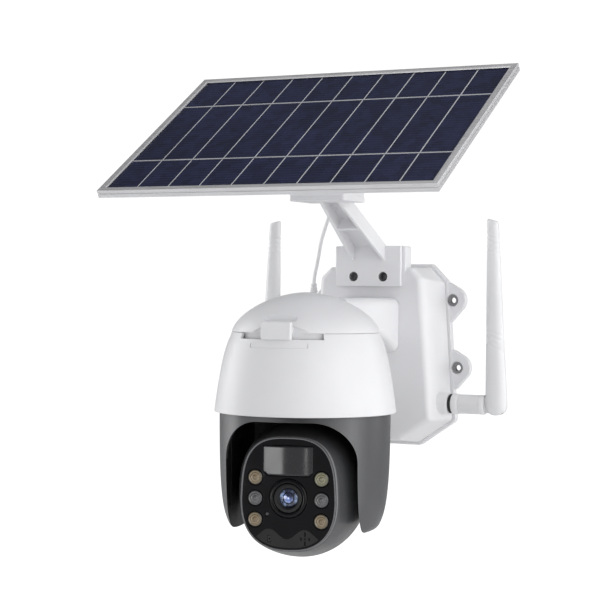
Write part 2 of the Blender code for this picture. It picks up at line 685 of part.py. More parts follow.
def make_arm_channel():
    """Tapered channel, open to the front and below, with one cross rib."""
    root, along, up = arm_frame()

    def section(share, inset, low, high):
        half = ARM_ROOT_HALF + (ARM_TIP_HALF - ARM_ROOT_HALF) * share - inset
        base = root + along * share
        return [base + Vector((x, 0, 0)) + up * height
                for x, height in ((-half, low), (half, low), (half, high), (-half, high))]

    channel = loft("arm_channel", [section(-0.03, 0, 0, ARM_CHANNEL_DEPTH),
                                   section(1.08, 0, 0, ARM_CHANNEL_DEPTH)])
    open_depth = ARM_CHANNEL_DEPTH - ARM_WEB
    for start, end in ((-0.2, 0.50), (0.53, 1.0)):
        cut(channel, loft("arm_hollow", [section(start, ARM_WEB, -10 * MM, open_depth),
                                         section(end, ARM_WEB, -10 * MM, open_depth)]))
    plate_middle = -BOX_DEPTH - GAP - FOOT_THICKNESS / 2
    cut(channel, block("arm_trim", (80 * MM, 40 * MM, 120 * MM), (0, plate_middle + 20 * MM, TAB_TOP)))
    return channel


def panel_place(seat):
    return Matrix.Translation(seat.location) @ seat.rotation_euler.to_matrix().to_4x4()


def make_stem(seat, laminate_back):
    """Stem from the horizontal pad up to a flange in the panel's plane, and the hollow inside it."""
    place = panel_place(seat)
    flange_bottom = laminate_back - SEAT_FLANGE_THICKNESS

    def pad_ring(inset, height):
        return [Vector((sx * (PAD_HALF_WIDTH - inset), y, height))
                for sx, y in ((-1, PAD_FRONT + inset), (1, PAD_FRONT + inset),
                              (1, PAD_BACK - inset), (-1, PAD_BACK - inset))]

    def top_ring(inset, height):
        return [place @ Vector((sx * (SEAT_HALF_WIDTH - inset), sy * (SEAT_HALF_LENGTH - inset), height))
                for sx, sy in ((-1, -1), (1, -1), (1, 1), (-1, 1))]

    flange_middle = laminate_back - SEAT_FLANGE_THICKNESS / 2
    pad_top = PAD_HEIGHT + PAD_THICKNESS
    stem = loft("stem", [pad_ring(0, PAD_HEIGHT), pad_ring(0, pad_top), top_ring(0, flange_middle)])
    outline = rounded_rectangle(SEAT_HALF_WIDTH + SEAT_FLANGE, -SEAT_HALF_LENGTH, SEAT_HALF_LENGTH, 4 * MM)
    join(stem, plate("stem_flange", outline, SEAT_FLANGE_THICKNESS,
                     location=place @ Vector((0, 0, flange_middle)), turn=(PANEL_TILT, 0, 0)))
    hollow = loft("stem_hollow", [pad_ring(SEAT_WALL, pad_top), top_ring(SEAT_WALL, flange_bottom),
                                  top_ring(SEAT_WALL, laminate_back + 3 * MM)])
    return stem, hollow


def add_panel_screws(bracket, seat, laminate_back):
    place = panel_place(seat)
    flange_bottom = laminate_back - SEAT_FLANGE_THICKNESS
    for side in (-1, 1):
        x = side * (SEAT_HALF_WIDTH + SEAT_FLANGE / 2 + 0.4 * MM)
        cut(bracket, rod("flange_hole", place @ Vector((x, 0, laminate_back + 3 * MM)),
                         place @ Vector((x, 0, laminate_back - 9 * MM)), PANEL_SCREW_RADIUS + GAP, sides=16))
        screw_at("panel_screw_" + ("left" if side < 0 else "right"),
                 (x, 0, flange_bottom - GAP - PANEL_SCREW_HEAD_HEIGHT), (0, 0, 1), PANEL_SCREW_RADIUS,
                 PANEL_SCREW_HEAD, PANEL_SCREW_HEAD_HEIGHT, PANEL_SCREW_HEAD_HEIGHT + SEAT_FLANGE_THICKNESS,
                 STEEL, seat)


# --- panel cable ---------------------------------------------------------------------------------

def smooth_route(points, step):
    """Points along a Catmull-Rom curve through the route, about one step apart."""
    points = [Vector(p) for p in points]
    ends = [2 * points[0] - points[1]] + points + [2 * points[-1] - points[-2]]
    result = [points[0]]
    for a, b, c, d in zip(ends, ends[1:], ends[2:], ends[3:]):
        pieces = max(1, round((c - b).length / step))
        for i in range(1, pieces + 1):
            t = i / pieces
            result.append(0.5 * (2 * b + (c - a) * t + (2 * a - 5 * b + 4 * c - d) * t ** 2
                                 + (3 * b - a - 3 * c + d) * t ** 3))
    return result


def make_cable():
    curve = bpy.data.curves.new("panel_cable", "CURVE")
    curve.dimensions = "3D"
    curve.bevel_depth = CABLE_RADIUS
    curve.bevel_resolution = 2
    curve.use_fill_caps = True
    route = smooth_route([Vector(p) * MM for p in CABLE_ROUTE], CABLE_STEP)
    spline = curve.splines.new("POLY")
    spline.points.add(len(route) - 1)
    for point, place in zip(spline.points, route):
        point.co = (*place, 1.0)
    curve_to_mesh("panel_cable", curve, WHITE_PLASTIC, None)
    gland = rod("cable_gland", (-38 * MM, GLAND_Y, GLAND_Z), (GLAND_X, GLAND_Y, GLAND_Z), GLAND_RADIUS,
                WHITE_PLASTIC, sides=24)
    sleeve_low = GLAND_TOP - GLAND_SLEEVE
    join(gland,
         rod("gland_body", (GLAND_X, GLAND_Y, GLAND_Z - 5 * MM), (GLAND_X, GLAND_Y, sleeve_low), 3.9 * MM),
         rod("gland_sleeve", (GLAND_X, GLAND_Y, sleeve_low - 0.2 * MM),
             (GLAND_X, GLAND_Y, GLAND_TOP - GAP), 3.0 * MM, end_radius=1.8 * MM))


# --- antennas ------------------------------------------------------------------------------------
def make_antenna(side, label):
    swivel = frame_empty("antenna_swivel_" + label, (0, ANTENNA_Y, ANTENNA_Z))
    fold = frame_empty("antenna_fold_" + label, (side * BLADE_AXIS, 0, 0), swivel)
    wall_x = side * 42.5 * MM
    socket = rod("antenna_socket_" + label, (wall_x, ANTENNA_Y, ANTENNA_Z),
                 (side * SOCKET_END, ANTENNA_Y, ANTENNA_Z), SOCKET_RADIUS, WHITE_PLASTIC)
    cut(socket, rod("socket_bore", (wall_x - side * MM, ANTENNA_Y, ANTENNA_Z),
                    (side * (SOCKET_END + 1 * MM), ANTENNA_Y, ANTENNA_Z), SPIGOT_RADIUS + GAP, sides=20))
    start = SOCKET_END + GAP
    knob_end = start + KNOB_LENGTH
    body_end = BLADE_AXIS - BLADE_ROOT_RADIUS - 0.4 * MM
    knuckle = rod("antenna_knuckle_" + label, (side * start, 0, 0), (side * knob_end, 0, 0), KNOB_RADIUS,
                  WHITE_PLASTIC, swivel)
    tongue_half = FORK_SLOT / 2 - GAP
    join(knuckle,
         rod("knuckle_body", (side * (knob_end - 1 * MM), 0, 0), (side * body_end, 0, 0), KNUCKLE_RADIUS),
         rod("knuckle_spigot", (wall_x + side * 2 * MM, 0, 0), (side * (start + 1 * MM), 0, 0),
             SPIGOT_RADIUS, sides=20),
         block("knuckle_tongue", (BLADE_AXIS - body_end + 2 * MM, 2 * tongue_half, 2 * TONGUE_RADIUS),
               (side * (BLADE_AXIS + body_end - 2 * MM) / 2, 0, 0)),
         rod("tongue_end", (side * BLADE_AXIS, tongue_half, 0), (side * BLADE_AXIS, -tongue_half, 0),
             TONGUE_RADIUS))
    cut(knuckle, rod("tongue_hole", (side * BLADE_AXIS, 9 * MM, 0), (side * BLADE_AXIS, -9 * MM, 0),
                     PIN_RADIUS + GAP, sides=16))
    rod("antenna_pin_" + label, (0, BLADE_ROOT_RADIUS - 1.6 * MM, 0), (0, 1.6 * MM - BLADE_ROOT_RADIUS, 0),
        PIN_RADIUS, STEEL, fold, sides=16)
    make_blade(side, label, fold)


def make_blade(side, label, fold):
    """Slim stick whose inner side is upright and whose outer side leans in to the tip."""
    height = BLADE_TOP - ANTENNA_Z
    flat = 0.78                     # depth over width of the stick

    def ring(radius, z, squash=1.0):
        centre = -side * (BLADE_ROOT_RADIUS - radius)
        return [(centre + radius * squash * math.cos(a), radius * squash * flat * math.sin(a), z)
                for a in [2 * math.pi * i / 18 for i in range(18)]]

    def radius_at(z):
        return BLADE_ROOT_RADIUS + (BLADE_TIP_RADIUS - BLADE_ROOT_RADIUS) * max(0.0, z) / height

    low = [(math.sin(math.radians(a)), -math.cos(math.radians(a))) for a in (25, 50, 70)]
    rings = [ring(BLADE_ROOT_RADIUS, BLADE_ROOT_RADIUS * z, squash) for squash, z in low]
    rings += [ring(radius_at(height * share), height * share) for share in (0, 0.5, 0.97)]
    rings += [ring(radius_at(height), height * 0.99, 0.8), ring(radius_at(height), height, 0.45)]
    blade = loft("antenna_blade_" + label, rings, WHITE_PLASTIC, fold)
    inner_reach = 20 * MM
    slot_width = inner_reach + TONGUE_RADIUS + GAP
    slot_middle = side * (slot_width / 2 - inner_reach)
    cut(blade, block("fork_slot", (slot_width, FORK_SLOT, 22 * MM), (slot_middle, 0, -4.4 * MM)),
        rod("pin_hole", (0, 9 * MM, 0), (0, -9 * MM, 0), PIN_RADIUS + GAP, sides=16))


# --- dome cap, neck, hood and catch --------------------------------------------------------------
def cap_radius(height, inset=0.0):
    """Cap outline radius at a height above the seam, in millimetres."""
    share = min(1.0, max(0.0, height / (CAP_HEIGHT - inset)))
    return (SEAM_RADIUS - inset) * (1 - share ** CAP_ROUNDNESS) ** (1 / CAP_ROUNDNESS)


def cap_profile(inset, bottom):
    top = CAP_HEIGHT - inset
    heights = [top * math.sin(math.radians(90 - 11.25 * i)) for i in range(8)]
    points = [(0.0, top)] + [(cap_radius(h, inset), h) for h in heights[1:]]
    points += [(SEAM_RADIUS - inset, bottom), (0.0, bottom)]
    return [(r * MM, (SEAM_HEIGHT + h) * MM) for r, h in points]


def neck_rings(inset):
    """Sections of the neck from inside the cap to the box, wide at the box's end."""
    base = SEAM_HEIGHT * MM + RIM_Z + 0.3 * MM
    stations = ((DOME_Y + 20 * MM, base), (DOME_Y + 42 * MM, base), (DOME_Y + 52 * MM, base + 0.2 * MM),
                (DOME_Y + 64 * MM, base - 1.2 * MM), (DOME_Y + 76 * MM, base - 4.2 * MM),
                (DOME_Y + 88 * MM, base - 9.0 * MM), (DOME_Y + 96 * MM, NECK_BOTTOM + 1.2 * MM),
                (-BOX_DEPTH - GAP, NECK_BOTTOM))
    rings = []
    for y, bottom in stations:
        outline = rounded_rectangle(NECK_HALF_WIDTH - inset, bottom + inset, NECK_TOP - inset,
                                    NECK_ROUND - inset / 2, 3)
        rings.append([(x, y, z) for x, z in outline])
    return rings


def make_cap():
    place = (0, DOME_Y, RIM_Z)
    cap = turned("dome_cap", cap_profile(0, 0.3), WHITE_PLASTIC, location=place, steps=DOME_SIDES)
    join(cap, loft("neck", neck_rings(0)))
    cut(cap, turned("cap_hollow", cap_profile(HOOD_WALL / MM, -4.0), location=place,
                    steps=DOME_SIDES))
    hollow = neck_rings(NECK_WALL)
    hollow[-1] = [(x, y + 3 * MM, z) for x, y, z in hollow[-1]]
    cut(cap, loft("neck_hollow", hollow))
    inner = SKIRT_RADIUS - SKIRT_WALL
    seam = SEAM_HEIGHT * MM
    skirt = [(inner, SKIRT_BOTTOM), (SKIRT_RADIUS, SKIRT_BOTTOM), (SKIRT_RADIUS, seam - GAP),
             (SKIRT_RADIUS + 1 * MM, seam + 0.7 * MM), (SKIRT_RADIUS + 1 * MM, seam + 2.8 * MM),
             (inner, seam + 2.8 * MM)]
    join(cap, turned("skirt", skirt, location=place, steps=DOME_SIDES))
    lump = turned("pocket_wall", cap_profile(1.0, 2.0), location=place, steps=DOME_SIDES)
    combine(lump, pocket_block("pocket_body", 2 * MM, CATCH_TOP - 2.4 * MM), "INTERSECT")
    join(cap, lump)
    cut(cap, catch_cutter(), *catch_slots())
    cut(cap, pocket_block("pocket", 0, CATCH_TOP + GAP))
    return cap


def pocket_block(name, wall, low):
    """Space above the catch for a fingertip, or the body round it with a wall."""
    depth = 16 * MM + wall
    height = 14 * MM
    half_width = CATCH_HALF_WIDTH + GAP + wall
    obj = block(name, (2 * half_width, depth, height),
                catch_place(POCKET_BACK - wall + depth / 2, low + height / 2))
    obj.rotation_euler = (0, 0, CATCH_BEARING)
    return obj


def catch_place(distance, height):
    return (math.sin(CATCH_BEARING) * distance, DOME_Y - math.cos(CATCH_BEARING) * distance, RIM_Z + height)


def catch_block(name, grow, look=None):
    depth = CATCH_OUTER - CATCH_INNER + 2 * grow
    tall = CATCH_TOP - CATCH_BOTTOM + 2 * grow
    obj = block(name, (2 * (CATCH_HALF_WIDTH + grow), depth, tall),
                catch_place((CATCH_OUTER + CATCH_INNER) / 2, (CATCH_TOP + CATCH_BOTTOM) / 2), look)
    obj.rotation_euler = (0, 0, CATCH_BEARING)
    return obj


def catch_cutter():
    return catch_block("catch_gap", GAP)


def catch_slots():
    """The two long slots in the seam beside the catch."""
    slots = []
    for side in (-1, 1):
        reach = CATCH_HALF_WIDTH + SLOT_LENGTH / 2 - 1 * MM
        turn = CATCH_BEARING + side * math.asin(reach / (SEAM_RADIUS * MM))
        x, y = math.sin(turn) * SEAM_RADIUS * MM, -math.cos(turn) * SEAM_RADIUS * MM
        slot = block("seam_slot", (SLOT_LENGTH, 5 * MM, SLOT_HEIGHT), (x, DOME_Y + y, RIM_Z + 50.3 * MM))
        slot.rotation_euler = (0, 0, turn)
        slots.append(slot)
    return slots


def make_hood():
    wall = HOOD_WALL / MM
    outer = [(r * MM, z * MM) for r, z in reversed(HOOD_PROFILE)]
    inner = [((r - wall) * MM, z * MM) for r, z in HOOD_PROFILE]
    hood = turned("hood", outer + inner, WHITE_PLASTIC, location=(0, DOME_Y, RIM_Z), steps=DOME_SIDES)
    cut(hood, catch_cutter(), *catch_slots())
    catch_block("front_catch", 0, WHITE_PLASTIC)
    round_edges(bpy.data.objects["front_catch"], 0.8 * MM, 1)


# --- pan drive -----------------------------------------------------------------------------------
def make_pan_drive(pan_axis):
    gear_radius = PAN_GEAR_TEETH * GEAR_MODULE / 2
    pinion_radius = PAN_PINION_TEETH * GEAR_MODULE / 2
    spread = gear_radius + pinion_radius
    rim = Vector((0, DOME_Y, RIM_Z))
    base = rod("pan_base", rim + Vector((0, 0, PAN_BASE_Z)),
               rim + Vector((0, 0, PAN_BASE_Z + PAN_BASE_THICKNESS)), PAN_BASE_RADIUS, WHITE_PLASTIC,
               sides=DOME_SIDES)
    motor_spot = rim + Vector((0, spread, 0))
    cut(base, rod("bearing_seat", rim, rim + Vector((0, 0, 30 * MM)), BEARING_RADIUS + GAP),
        rod("pinion_passage", motor_spot, motor_spot + Vector((0, 0, 30 * MM)), 3.4 * MM, sides=16))
    low, high = PAN_BASE_Z - 1 * MM, PAN_BASE_Z + PAN_BASE_THICKNESS + 1 * MM
    bore = PAN_HUB_RADIUS + GAP
    turned("pan_bearing", [(bore, high), (BEARING_RADIUS, high), (BEARING_RADIUS, low), (bore, low)], STEEL,
           location=rim, steps=28)
    motor_low = PAN_BASE_Z + PAN_BASE_THICKNESS + GAP
    motor = rod("pan_motor", motor_spot + Vector((0, 0, motor_low)),
                motor_spot + Vector((0, 0, motor_low + PAN_MOTOR_LENGTH)), PAN_MOTOR_RADIUS, STEEL)
    cut(motor, rod("pan_motor_eye", motor_spot, motor_spot + Vector((0, 0, motor_low + 4 * MM)),
                   PAN_SHAFT_RADIUS + GAP, sides=16))
    half_tooth = math.pi / PAN_PINION_TEETH
    pinion_axis = frame_empty("pan_pinion_axis", motor_spot, turn=(0, 0, -math.pi / 2 - half_tooth))
    gear_middle = (0, 0, PAN_GEAR_Z + GEAR_WIDTH / 2)
    pinion = plate("pan_pinion", gear_outline(PAN_PINION_TEETH, GEAR_MODULE), GEAR_WIDTH, NYLON,
                   pinion_axis, gear_middle)
    join(pinion, rod("pinion_shaft", (0, 0, PAN_GEAR_Z + 1 * MM), (0, 0, motor_low + 3.5 * MM),
                     PAN_SHAFT_RADIUS, sides=16))
    gear = plate("pan_gear", gear_outline(PAN_GEAR_TEETH, GEAR_MODULE), GEAR_WIDTH, NYLON, pan_axis,
                 gear_middle, (0, 0, math.pi / 2 - PAN_REST))
    hub_low = YOKE_SLOT_TOP + YOKE_ROOF + GAP
    hub_high = PAN_BASE_Z + PAN_BASE_THICKNESS + PAN_HUB_RISE
    join(gear, rod("pan_hub", (0, 0, hub_low), (0, 0, hub_high), PAN_HUB_RADIUS))
    cut(gear, rod("pan_bore", (0, 0, hub_low - MM), (0, 0, hub_high + MM), PAN_HUB_BORE))
    place = rim + Vector((0, -4 * MM, MAIN_BOARD_Z))
    board = block("main_board", (62 * MM, 44 * MM, BOARD_THICKNESS), place, GREEN_BOARD)
    join(board, block("processor", (16 * MM, 16 * MM, 3 * MM), place + Vector((-8 * MM, -2 * MM, 2 * MM))),
         block("radio_can", (18 * MM, 13 * MM, 3.4 * MM), place + Vector((17 * MM, 6 * MM, 2.2 * MM))))


# --- yoke ----------------------------------------------------------------------------------------
def make_yoke(pan_axis):
    outer = [(0.0, YOKE_PROFILE[0][1] * MM)] + [(r * MM, z * MM) for r, z in YOKE_PROFILE]
    outer.append((0.0, YOKE_PROFILE[-1][1] * MM))
    yoke = turned("yoke_shell", outer, GREY_PLASTIC, pan_axis, steps=DOME_SIDES)
    opening = rounded_rectangle(YOKE_SLOT_HALF, -110 * MM, YOKE_SLOT_TOP, YOKE_SLOT_ROUND, 8)
    reach = 70 * MM
    below = block("below_back_wall", (2 * YOKE_SLOT_HALF, reach, reach),
                  (0, reach / 2, YOKE_BACK_FOOT - reach / 2))
    cut(yoke, head_room(pan_axis), below,
        plate("yoke_opening", opening, reach, location=(0, -reach / 2, 0), turn=UPRIGHT),
        rod("roof_pocket", (0, 0, YOKE_SLOT_TOP + YOKE_ROOF), (0, 0, 20 * MM), ROOF_POCKET_RADIUS,
            sides=DOME_SIDES),
        rod("wire_hole", (0, 0, -20 * MM), (0, 0, 20 * MM), PAN_HUB_BORE, sides=24))
    for side, label in ((-1, "left"), (1, "right")):
        cut(yoke, arm_cavity(side, pan_axis))
        make_cheek(side, label, pan_axis)
    return yoke


def head_room(pan_axis):
    """Space between the arms, inside the yoke's round wall, where the head turns."""
    inner = [(r - YOKE_WALL / MM, min(z, YOKE_SLOT_TOP / MM)) for r, z in YOKE_PROFILE[2:-2]]
    inner = [(0.0, inner[0][1])] + inner + [(inner[-1][0], -90.0), (0.0, -90.0)]
    room = turned("head_room", [(r * MM, z * MM) for r, z in inner], parent=pan_axis, steps=DOME_SIDES)
    return combine(room, block("between_arms", (2 * YOKE_SLOT_HALF, 140 * MM, 200 * MM), (0, 0, -60 * MM)),
                   "INTERSECT")


def arm_cavity(side, pan_axis):
    wall = YOKE_WALL / MM
    points = [(r - wall, z) for r, z in YOKE_PROFILE if -74 < z < -10]
    inner = [(0.0, -10.0), (points[0][0], -10.0)] + points + [(46.5, -75.2), (0.0, -75.2)]
    cavity = turned("arm_cavity", [(r * MM, z * MM) for r, z in inner], parent=pan_axis, steps=DOME_SIDES)
    window = block("arm_window", (24 * MM, 120 * MM, 120 * MM),
                   (side * (YOKE_SLOT_HALF + 11.5 * MM), 0, -40 * MM))
    combine(cavity, window, "INTERSECT")
    return cavity


def yoke_radius(height):
    """Outer radius of the yoke at a height above the rim."""
    for (r_high, z_high), (r_low, z_low) in zip(YOKE_PROFILE, YOKE_PROFILE[1:]):
        if z_low <= height / MM <= z_high:
            return (r_low + (r_high - r_low) * (height / MM - z_low) / (z_high - z_low)) * MM
    return YOKE_PROFILE[0][0] * MM


def make_cheek(side, label, pan_axis):
    """Cover plate on the inner side of a yoke arm, with the trunnion that the head turns on."""
    x = YOKE_SLOT_HALF + GAP + CHEEK_THICKNESS / 2
    cavity_radius = yoke_radius(CHEEK_BOTTOM) - YOKE_WALL
    reach = math.sqrt(cavity_radius ** 2 - (x + CHEEK_THICKNESS / 2) ** 2) - 2 * GAP
    outline = rounded_rectangle(reach, CHEEK_BOTTOM, CHEEK_TOP, 5 * MM, 3)
    cheek = plate("yoke_cheek_" + label, outline, CHEEK_THICKNESS, GREY_PLASTIC, pan_axis, (side * x, 0, 0),
                  (math.radians(90), 0, math.radians(90)))
    inner_end = TILT_GEAR_X + TILT_GEAR_WIDTH + GAP if side > 0 else 33 * MM
    join(cheek, rod("trunnion", (side * x, 0, TILT_Z), (side * inner_end, 0, TILT_Z), TRUNNION_RADIUS))
    cut(cheek, rod("trunnion_bore", (side * (x + 5 * MM), 0, TILT_Z),
                   (side * (inner_end - 5 * MM), 0, TILT_Z), TRUNNION_BORE, sides=20))


# --- head ----------------------------------------------------------------------------------------
def head_ring(y, count):
    """Head outline at a distance behind (+) or in front (-) of the tilt axis."""
    front = -(FACE_DISTANCE - FACE_THICKNESS - GAP)
    if y <= 0:
        share = math.sin(math.radians(90) * (y - front) / -front)
        front_half_width = FACE_HALF_WIDTH + SHELL_STEP
        front_half_height = FACE_HALF_HEIGHT + SHELL_STEP
        half_width = front_half_width + (HEAD_HALF_WIDTH - front_half_width) * share
        half_height = front_half_height + (HEAD_HALF_HEIGHT - front_half_height) * share
        power_share = 1 - share
    else:
        shrink = math.sqrt(max(0.0, 1 - (y / HEAD_BACK) ** 2))
        half_width, half_height, power_share = HEAD_HALF_WIDTH * shrink, HEAD_HALF_HEIGHT * shrink, 0.0
    upper = 2 + (FACE_SHOULDER - 2) * power_share
    lower = 2 + (FACE_CHIN - 2) * power_share
    points = [superellipse_point(2 * math.pi * i / count, half_width, half_height, upper, lower,
                                 FACE_TAPER * power_share) for i in range(count)]
    return [(x, y, z) for x, z in points]


def make_head_shell(tilt_axis):
    front = -(FACE_DISTANCE - FACE_THICKNESS - GAP)
    stations = [front, front * 0.72, front * 0.36, 0.0]
    stations += [HEAD_BACK * math.sin(math.radians(a)) for a in (22, 44, 64, 82)]
    shell = loft("head_shell", [head_ring(y, HEAD_SIDES) for y in stations], GREY_PLASTIC, tilt_axis,
                 open_start=True)
    solid = shell.modifiers.new("wall", "SOLIDIFY")
    solid.thickness = HEAD_WALL
    solid.offset = -1
    solid.use_even_offset = True
    for side in (-1, 1):
        cut(shell, rod("trunnion_hole", (side * 30 * MM, 0, 0), (side * 60 * MM, 0, 0),
                       TRUNNION_RADIUS + GAP))
    return shell


def face_hole(name, x, z, radius, sides=18):
    return rod(name, (x, -FACE_DISTANCE - 5 * MM, z), (x, -FACE_DISTANCE + 9 * MM, z), radius, sides=sides)


def pir_outline(inset):
    """Plan of the convex motion-sensor window, bulging to the front."""
    half, sag = PIR_HALF_WIDTH - inset, PIR_BULGE
    front = [(half * s / 4, sag * (1 - (s / 4) ** 2)) for s in range(-4, 5)]
    return [(x, -FACE_DISTANCE - bulge) for x, bulge in front] + [(half, -FACE_DISTANCE + 2.2 * MM),
                                                                 (-half, -FACE_DISTANCE + 2.2 * MM)]


def make_face(tilt_axis):
    middle = -(FACE_DISTANCE - FACE_THICKNESS / 2)
    face = plate("face_plate", face_outline(), FACE_THICKNESS, BLACK_GLOSS, tilt_axis,
                 (0, middle, 0), UPRIGHT)
    cut(face, face_hole("lens_opening", 0, LENS_Z, LENS_RING_RADIUS + GAP, 32))
    window = block("pir_opening", (2 * (PIR_HALF_WIDTH + GAP), 12 * MM, PIR_TOP - PIR_BOTTOM + 2 * GAP),
                   (0, -FACE_DISTANCE, (PIR_TOP + PIR_BOTTOM) / 2))
    cut(face, window)
    for x in (-LED_COLUMN, LED_COLUMN):
        for z in LED_ROWS:
            cut(face, face_hole("led_opening", x, z, LED_RADIUS + GAP))
    cut(face, face_hole("sensor_opening", *SENSOR, SENSOR_RADIUS, 12),
        face_hole("microphone_opening", *MICROPHONE, 1.0 * MM, 12))
    for dx, dz in ((-2.6, 0), (0, 0), (2.6, 0), (0, 2.6), (0, -2.6)):
        cut(face, face_hole("speaker_opening", SPEAKER[0] + dx * MM, SPEAKER[1] + dz * MM, 0.7 * MM, 8))
    plate("pir_window", pir_outline(0), PIR_TOP - PIR_BOTTOM, BLACK_PLASTIC, tilt_axis,
          (0, 0, (PIR_TOP + PIR_BOTTOM) / 2))


def make_lens(tilt_axis):
    ring_low, ring_high = FACE_DISTANCE - FACE_THICKNESS, FACE_DISTANCE + 0.7 * MM
    bore = LENS_BARREL_RADIUS + GAP
    place = (0, 0, LENS_Z)
    ring = [(bore, ring_high), (LENS_RING_RADIUS - 0.8 * MM, ring_high),
            (LENS_RING_RADIUS, ring_high - 0.7 * MM), (LENS_RING_RADIUS, ring_low), (bore, ring_low)]
    turned("lens_ring", ring, BLACK_GLOSS, tilt_axis, place, UPRIGHT, 32)
    front = FACE_DISTANCE + 0.9 * MM
    seat = front - LENS_RECESS
    well = seat - 2.4 * MM
    module = [(LENS_GLASS_RADIUS + 1.6 * MM, front), (LENS_BARREL_RADIUS, front),
              (LENS_BARREL_RADIUS, LENS_BACK), (0.0, LENS_BACK), (0.0, well),
              (LENS_GLASS_RADIUS - 1 * MM, well), (LENS_GLASS_RADIUS + GAP, seat)]
    lens = turned("lens_module", module, BLACK_PLASTIC, tilt_axis, place, UPRIGHT, 32)
    join(lens, block("sensor_board", (26 * MM, 3 * MM, 26 * MM), (0, 1.2 * MM - LENS_BACK, LENS_Z)))
    bend = [math.radians(a) for a in (0, 25, 50, 72, 90)]
    glass = [(LENS_GLASS_RADIUS * math.sin(a), seat + 0.2 * MM + LENS_CROWN * math.cos(a)) for a in bend]
    rear = seat - 0.4 * MM
    turned("lens_glass", glass + [(LENS_GLASS_RADIUS - 0.6 * MM, rear), (0.0, rear)], GLASS,
           tilt_axis, place, UPRIGHT, 32)


def make_leds(tilt_axis):
    board_front = -(FACE_DISTANCE - FACE_THICKNESS - 2.4 * MM)
    board = plate("led_board", face_outline(-LED_BOARD_INSET), BOARD_THICKNESS, GREEN_BOARD, tilt_axis,
                  (0, board_front + BOARD_THICKNESS / 2, 0), UPRIGHT)
    for (x, z), radius in (((0, LENS_Z), LENS_BARREL_RADIUS), (SPEAKER, SPEAKER_RADIUS),
                           (MICROPHONE, MICROPHONE_RADIUS)):
        cut(board, rod("board_passage", (x, -60 * MM, z), (x, -20 * MM, z), radius + GAP))
    base = -board_front + GAP
    front = FACE_DISTANCE + 0.3 * MM
    number = 0
    profile = [(0.0, front + 1.2 * MM), (LED_RADIUS * 0.5, front + 0.9 * MM),
               (LED_RADIUS * 0.85, front + 0.2 * MM), (LED_RADIUS, front - 0.8 * MM),
               (LED_RADIUS, base), (0.0, base)]
    for x in (-LED_COLUMN, LED_COLUMN):
        for z, look in zip(LED_ROWS, (LED_AMBER, LED_CLEAR, LED_AMBER)):
            number += 1
            turned("led_lens_%d" % number, profile, look, tilt_axis, (x, 0, z), UPRIGHT, 14)
    back = -(FACE_DISTANCE - FACE_THICKNESS) + GAP
    rod("microphone", (MICROPHONE[0], back, MICROPHONE[1]), (MICROPHONE[0], back + 3 * MM, MICROPHONE[1]),
        MICROPHONE_RADIUS, STEEL, tilt_axis, sides=20)
    rod("speaker", (SPEAKER[0], back, SPEAKER[1]), (SPEAKER[0], back + 4.4 * MM, SPEAKER[1]),
        SPEAKER_RADIUS, BLACK_PLASTIC, tilt_axis)


def make_tilt_drive(pan_axis, tilt_axis):
    spread = (TILT_GEAR_TEETH + TILT_PINION_TEETH) * TILT_MODULE / 2
    across = (math.radians(90), 0, math.radians(90))
    gear = plate("tilt_gear", gear_outline(TILT_GEAR_TEETH, TILT_MODULE), TILT_GEAR_WIDTH, NYLON, pan_axis,
                 (TILT_GEAR_X + TILT_GEAR_WIDTH / 2, 0, TILT_Z), across)
    cut(gear, rod("gear_bore", (TILT_GEAR_X - 5 * MM, 0, TILT_Z), (TILT_GEAR_X + 9 * MM, 0, TILT_Z),
                  TRUNNION_BORE, sides=20))
    pinion_axis = frame_empty("tilt_pinion_axis", (0, spread, 0), tilt_axis,
                               (math.pi - math.pi / TILT_PINION_TEETH, 0, 0))
    pinion = plate("tilt_pinion", gear_outline(TILT_PINION_TEETH, TILT_MODULE), TILT_GEAR_WIDTH, NYLON,
                   pinion_axis, (TILT_GEAR_X + TILT_GEAR_WIDTH / 2, 0, 0), across)
    motor_end = TILT_GEAR_X - 2 * MM
    join(pinion, rod("tilt_shaft", (TILT_GEAR_X + 1 * MM, 0, 0), (motor_end - 3 * MM, 0, 0),
                     TILT_SHAFT_RADIUS, sides=16))
    motor = rod("tilt_motor", (motor_end - TILT_MOTOR_LENGTH, spread, 0), (motor_end, spread, 0),
                TILT_MOTOR_RADIUS, STEEL, tilt_axis, sides=28)
    cut(motor, rod("tilt_motor_eye", (motor_end - 4 * MM, spread, 0), (motor_end + 4 * MM, spread, 0),
                   TILT_SHAFT_RADIUS + GAP, sides=16))


# --- the whole camera ----------------------------------------------------------------------------
def build():
    make_rear_shell()
    make_cover()
    make_seal()
    make_cover_screws()
    make_batteries()
    seat, laminate_back = make_panel()
    make_bracket(seat, laminate_back)
    make_cable()
    for side, label in ((-1, "left"), (1, "right")):
        make_antenna(side, label)
    make_cap()
    make_hood()
    pan_axis = frame_empty("pan_axis", (0, DOME_Y, RIM_Z), turn=(0, 0, PAN_REST))
    tilt_axis = frame_empty("tilt_axis", (0, 0, TILT_Z), pan_axis)
    make_pan_drive(pan_axis)
    make_yoke(pan_axis)
    make_head_shell(tilt_axis)
    make_face(tilt_axis)
    make_lens(tilt_axis)
    make_leds(tilt_axis)
    make_tilt_drive(pan_axis, tilt_axis)


build()
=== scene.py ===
import json
import math

import bmesh
import bpy
from mathutils import Matrix, Vector


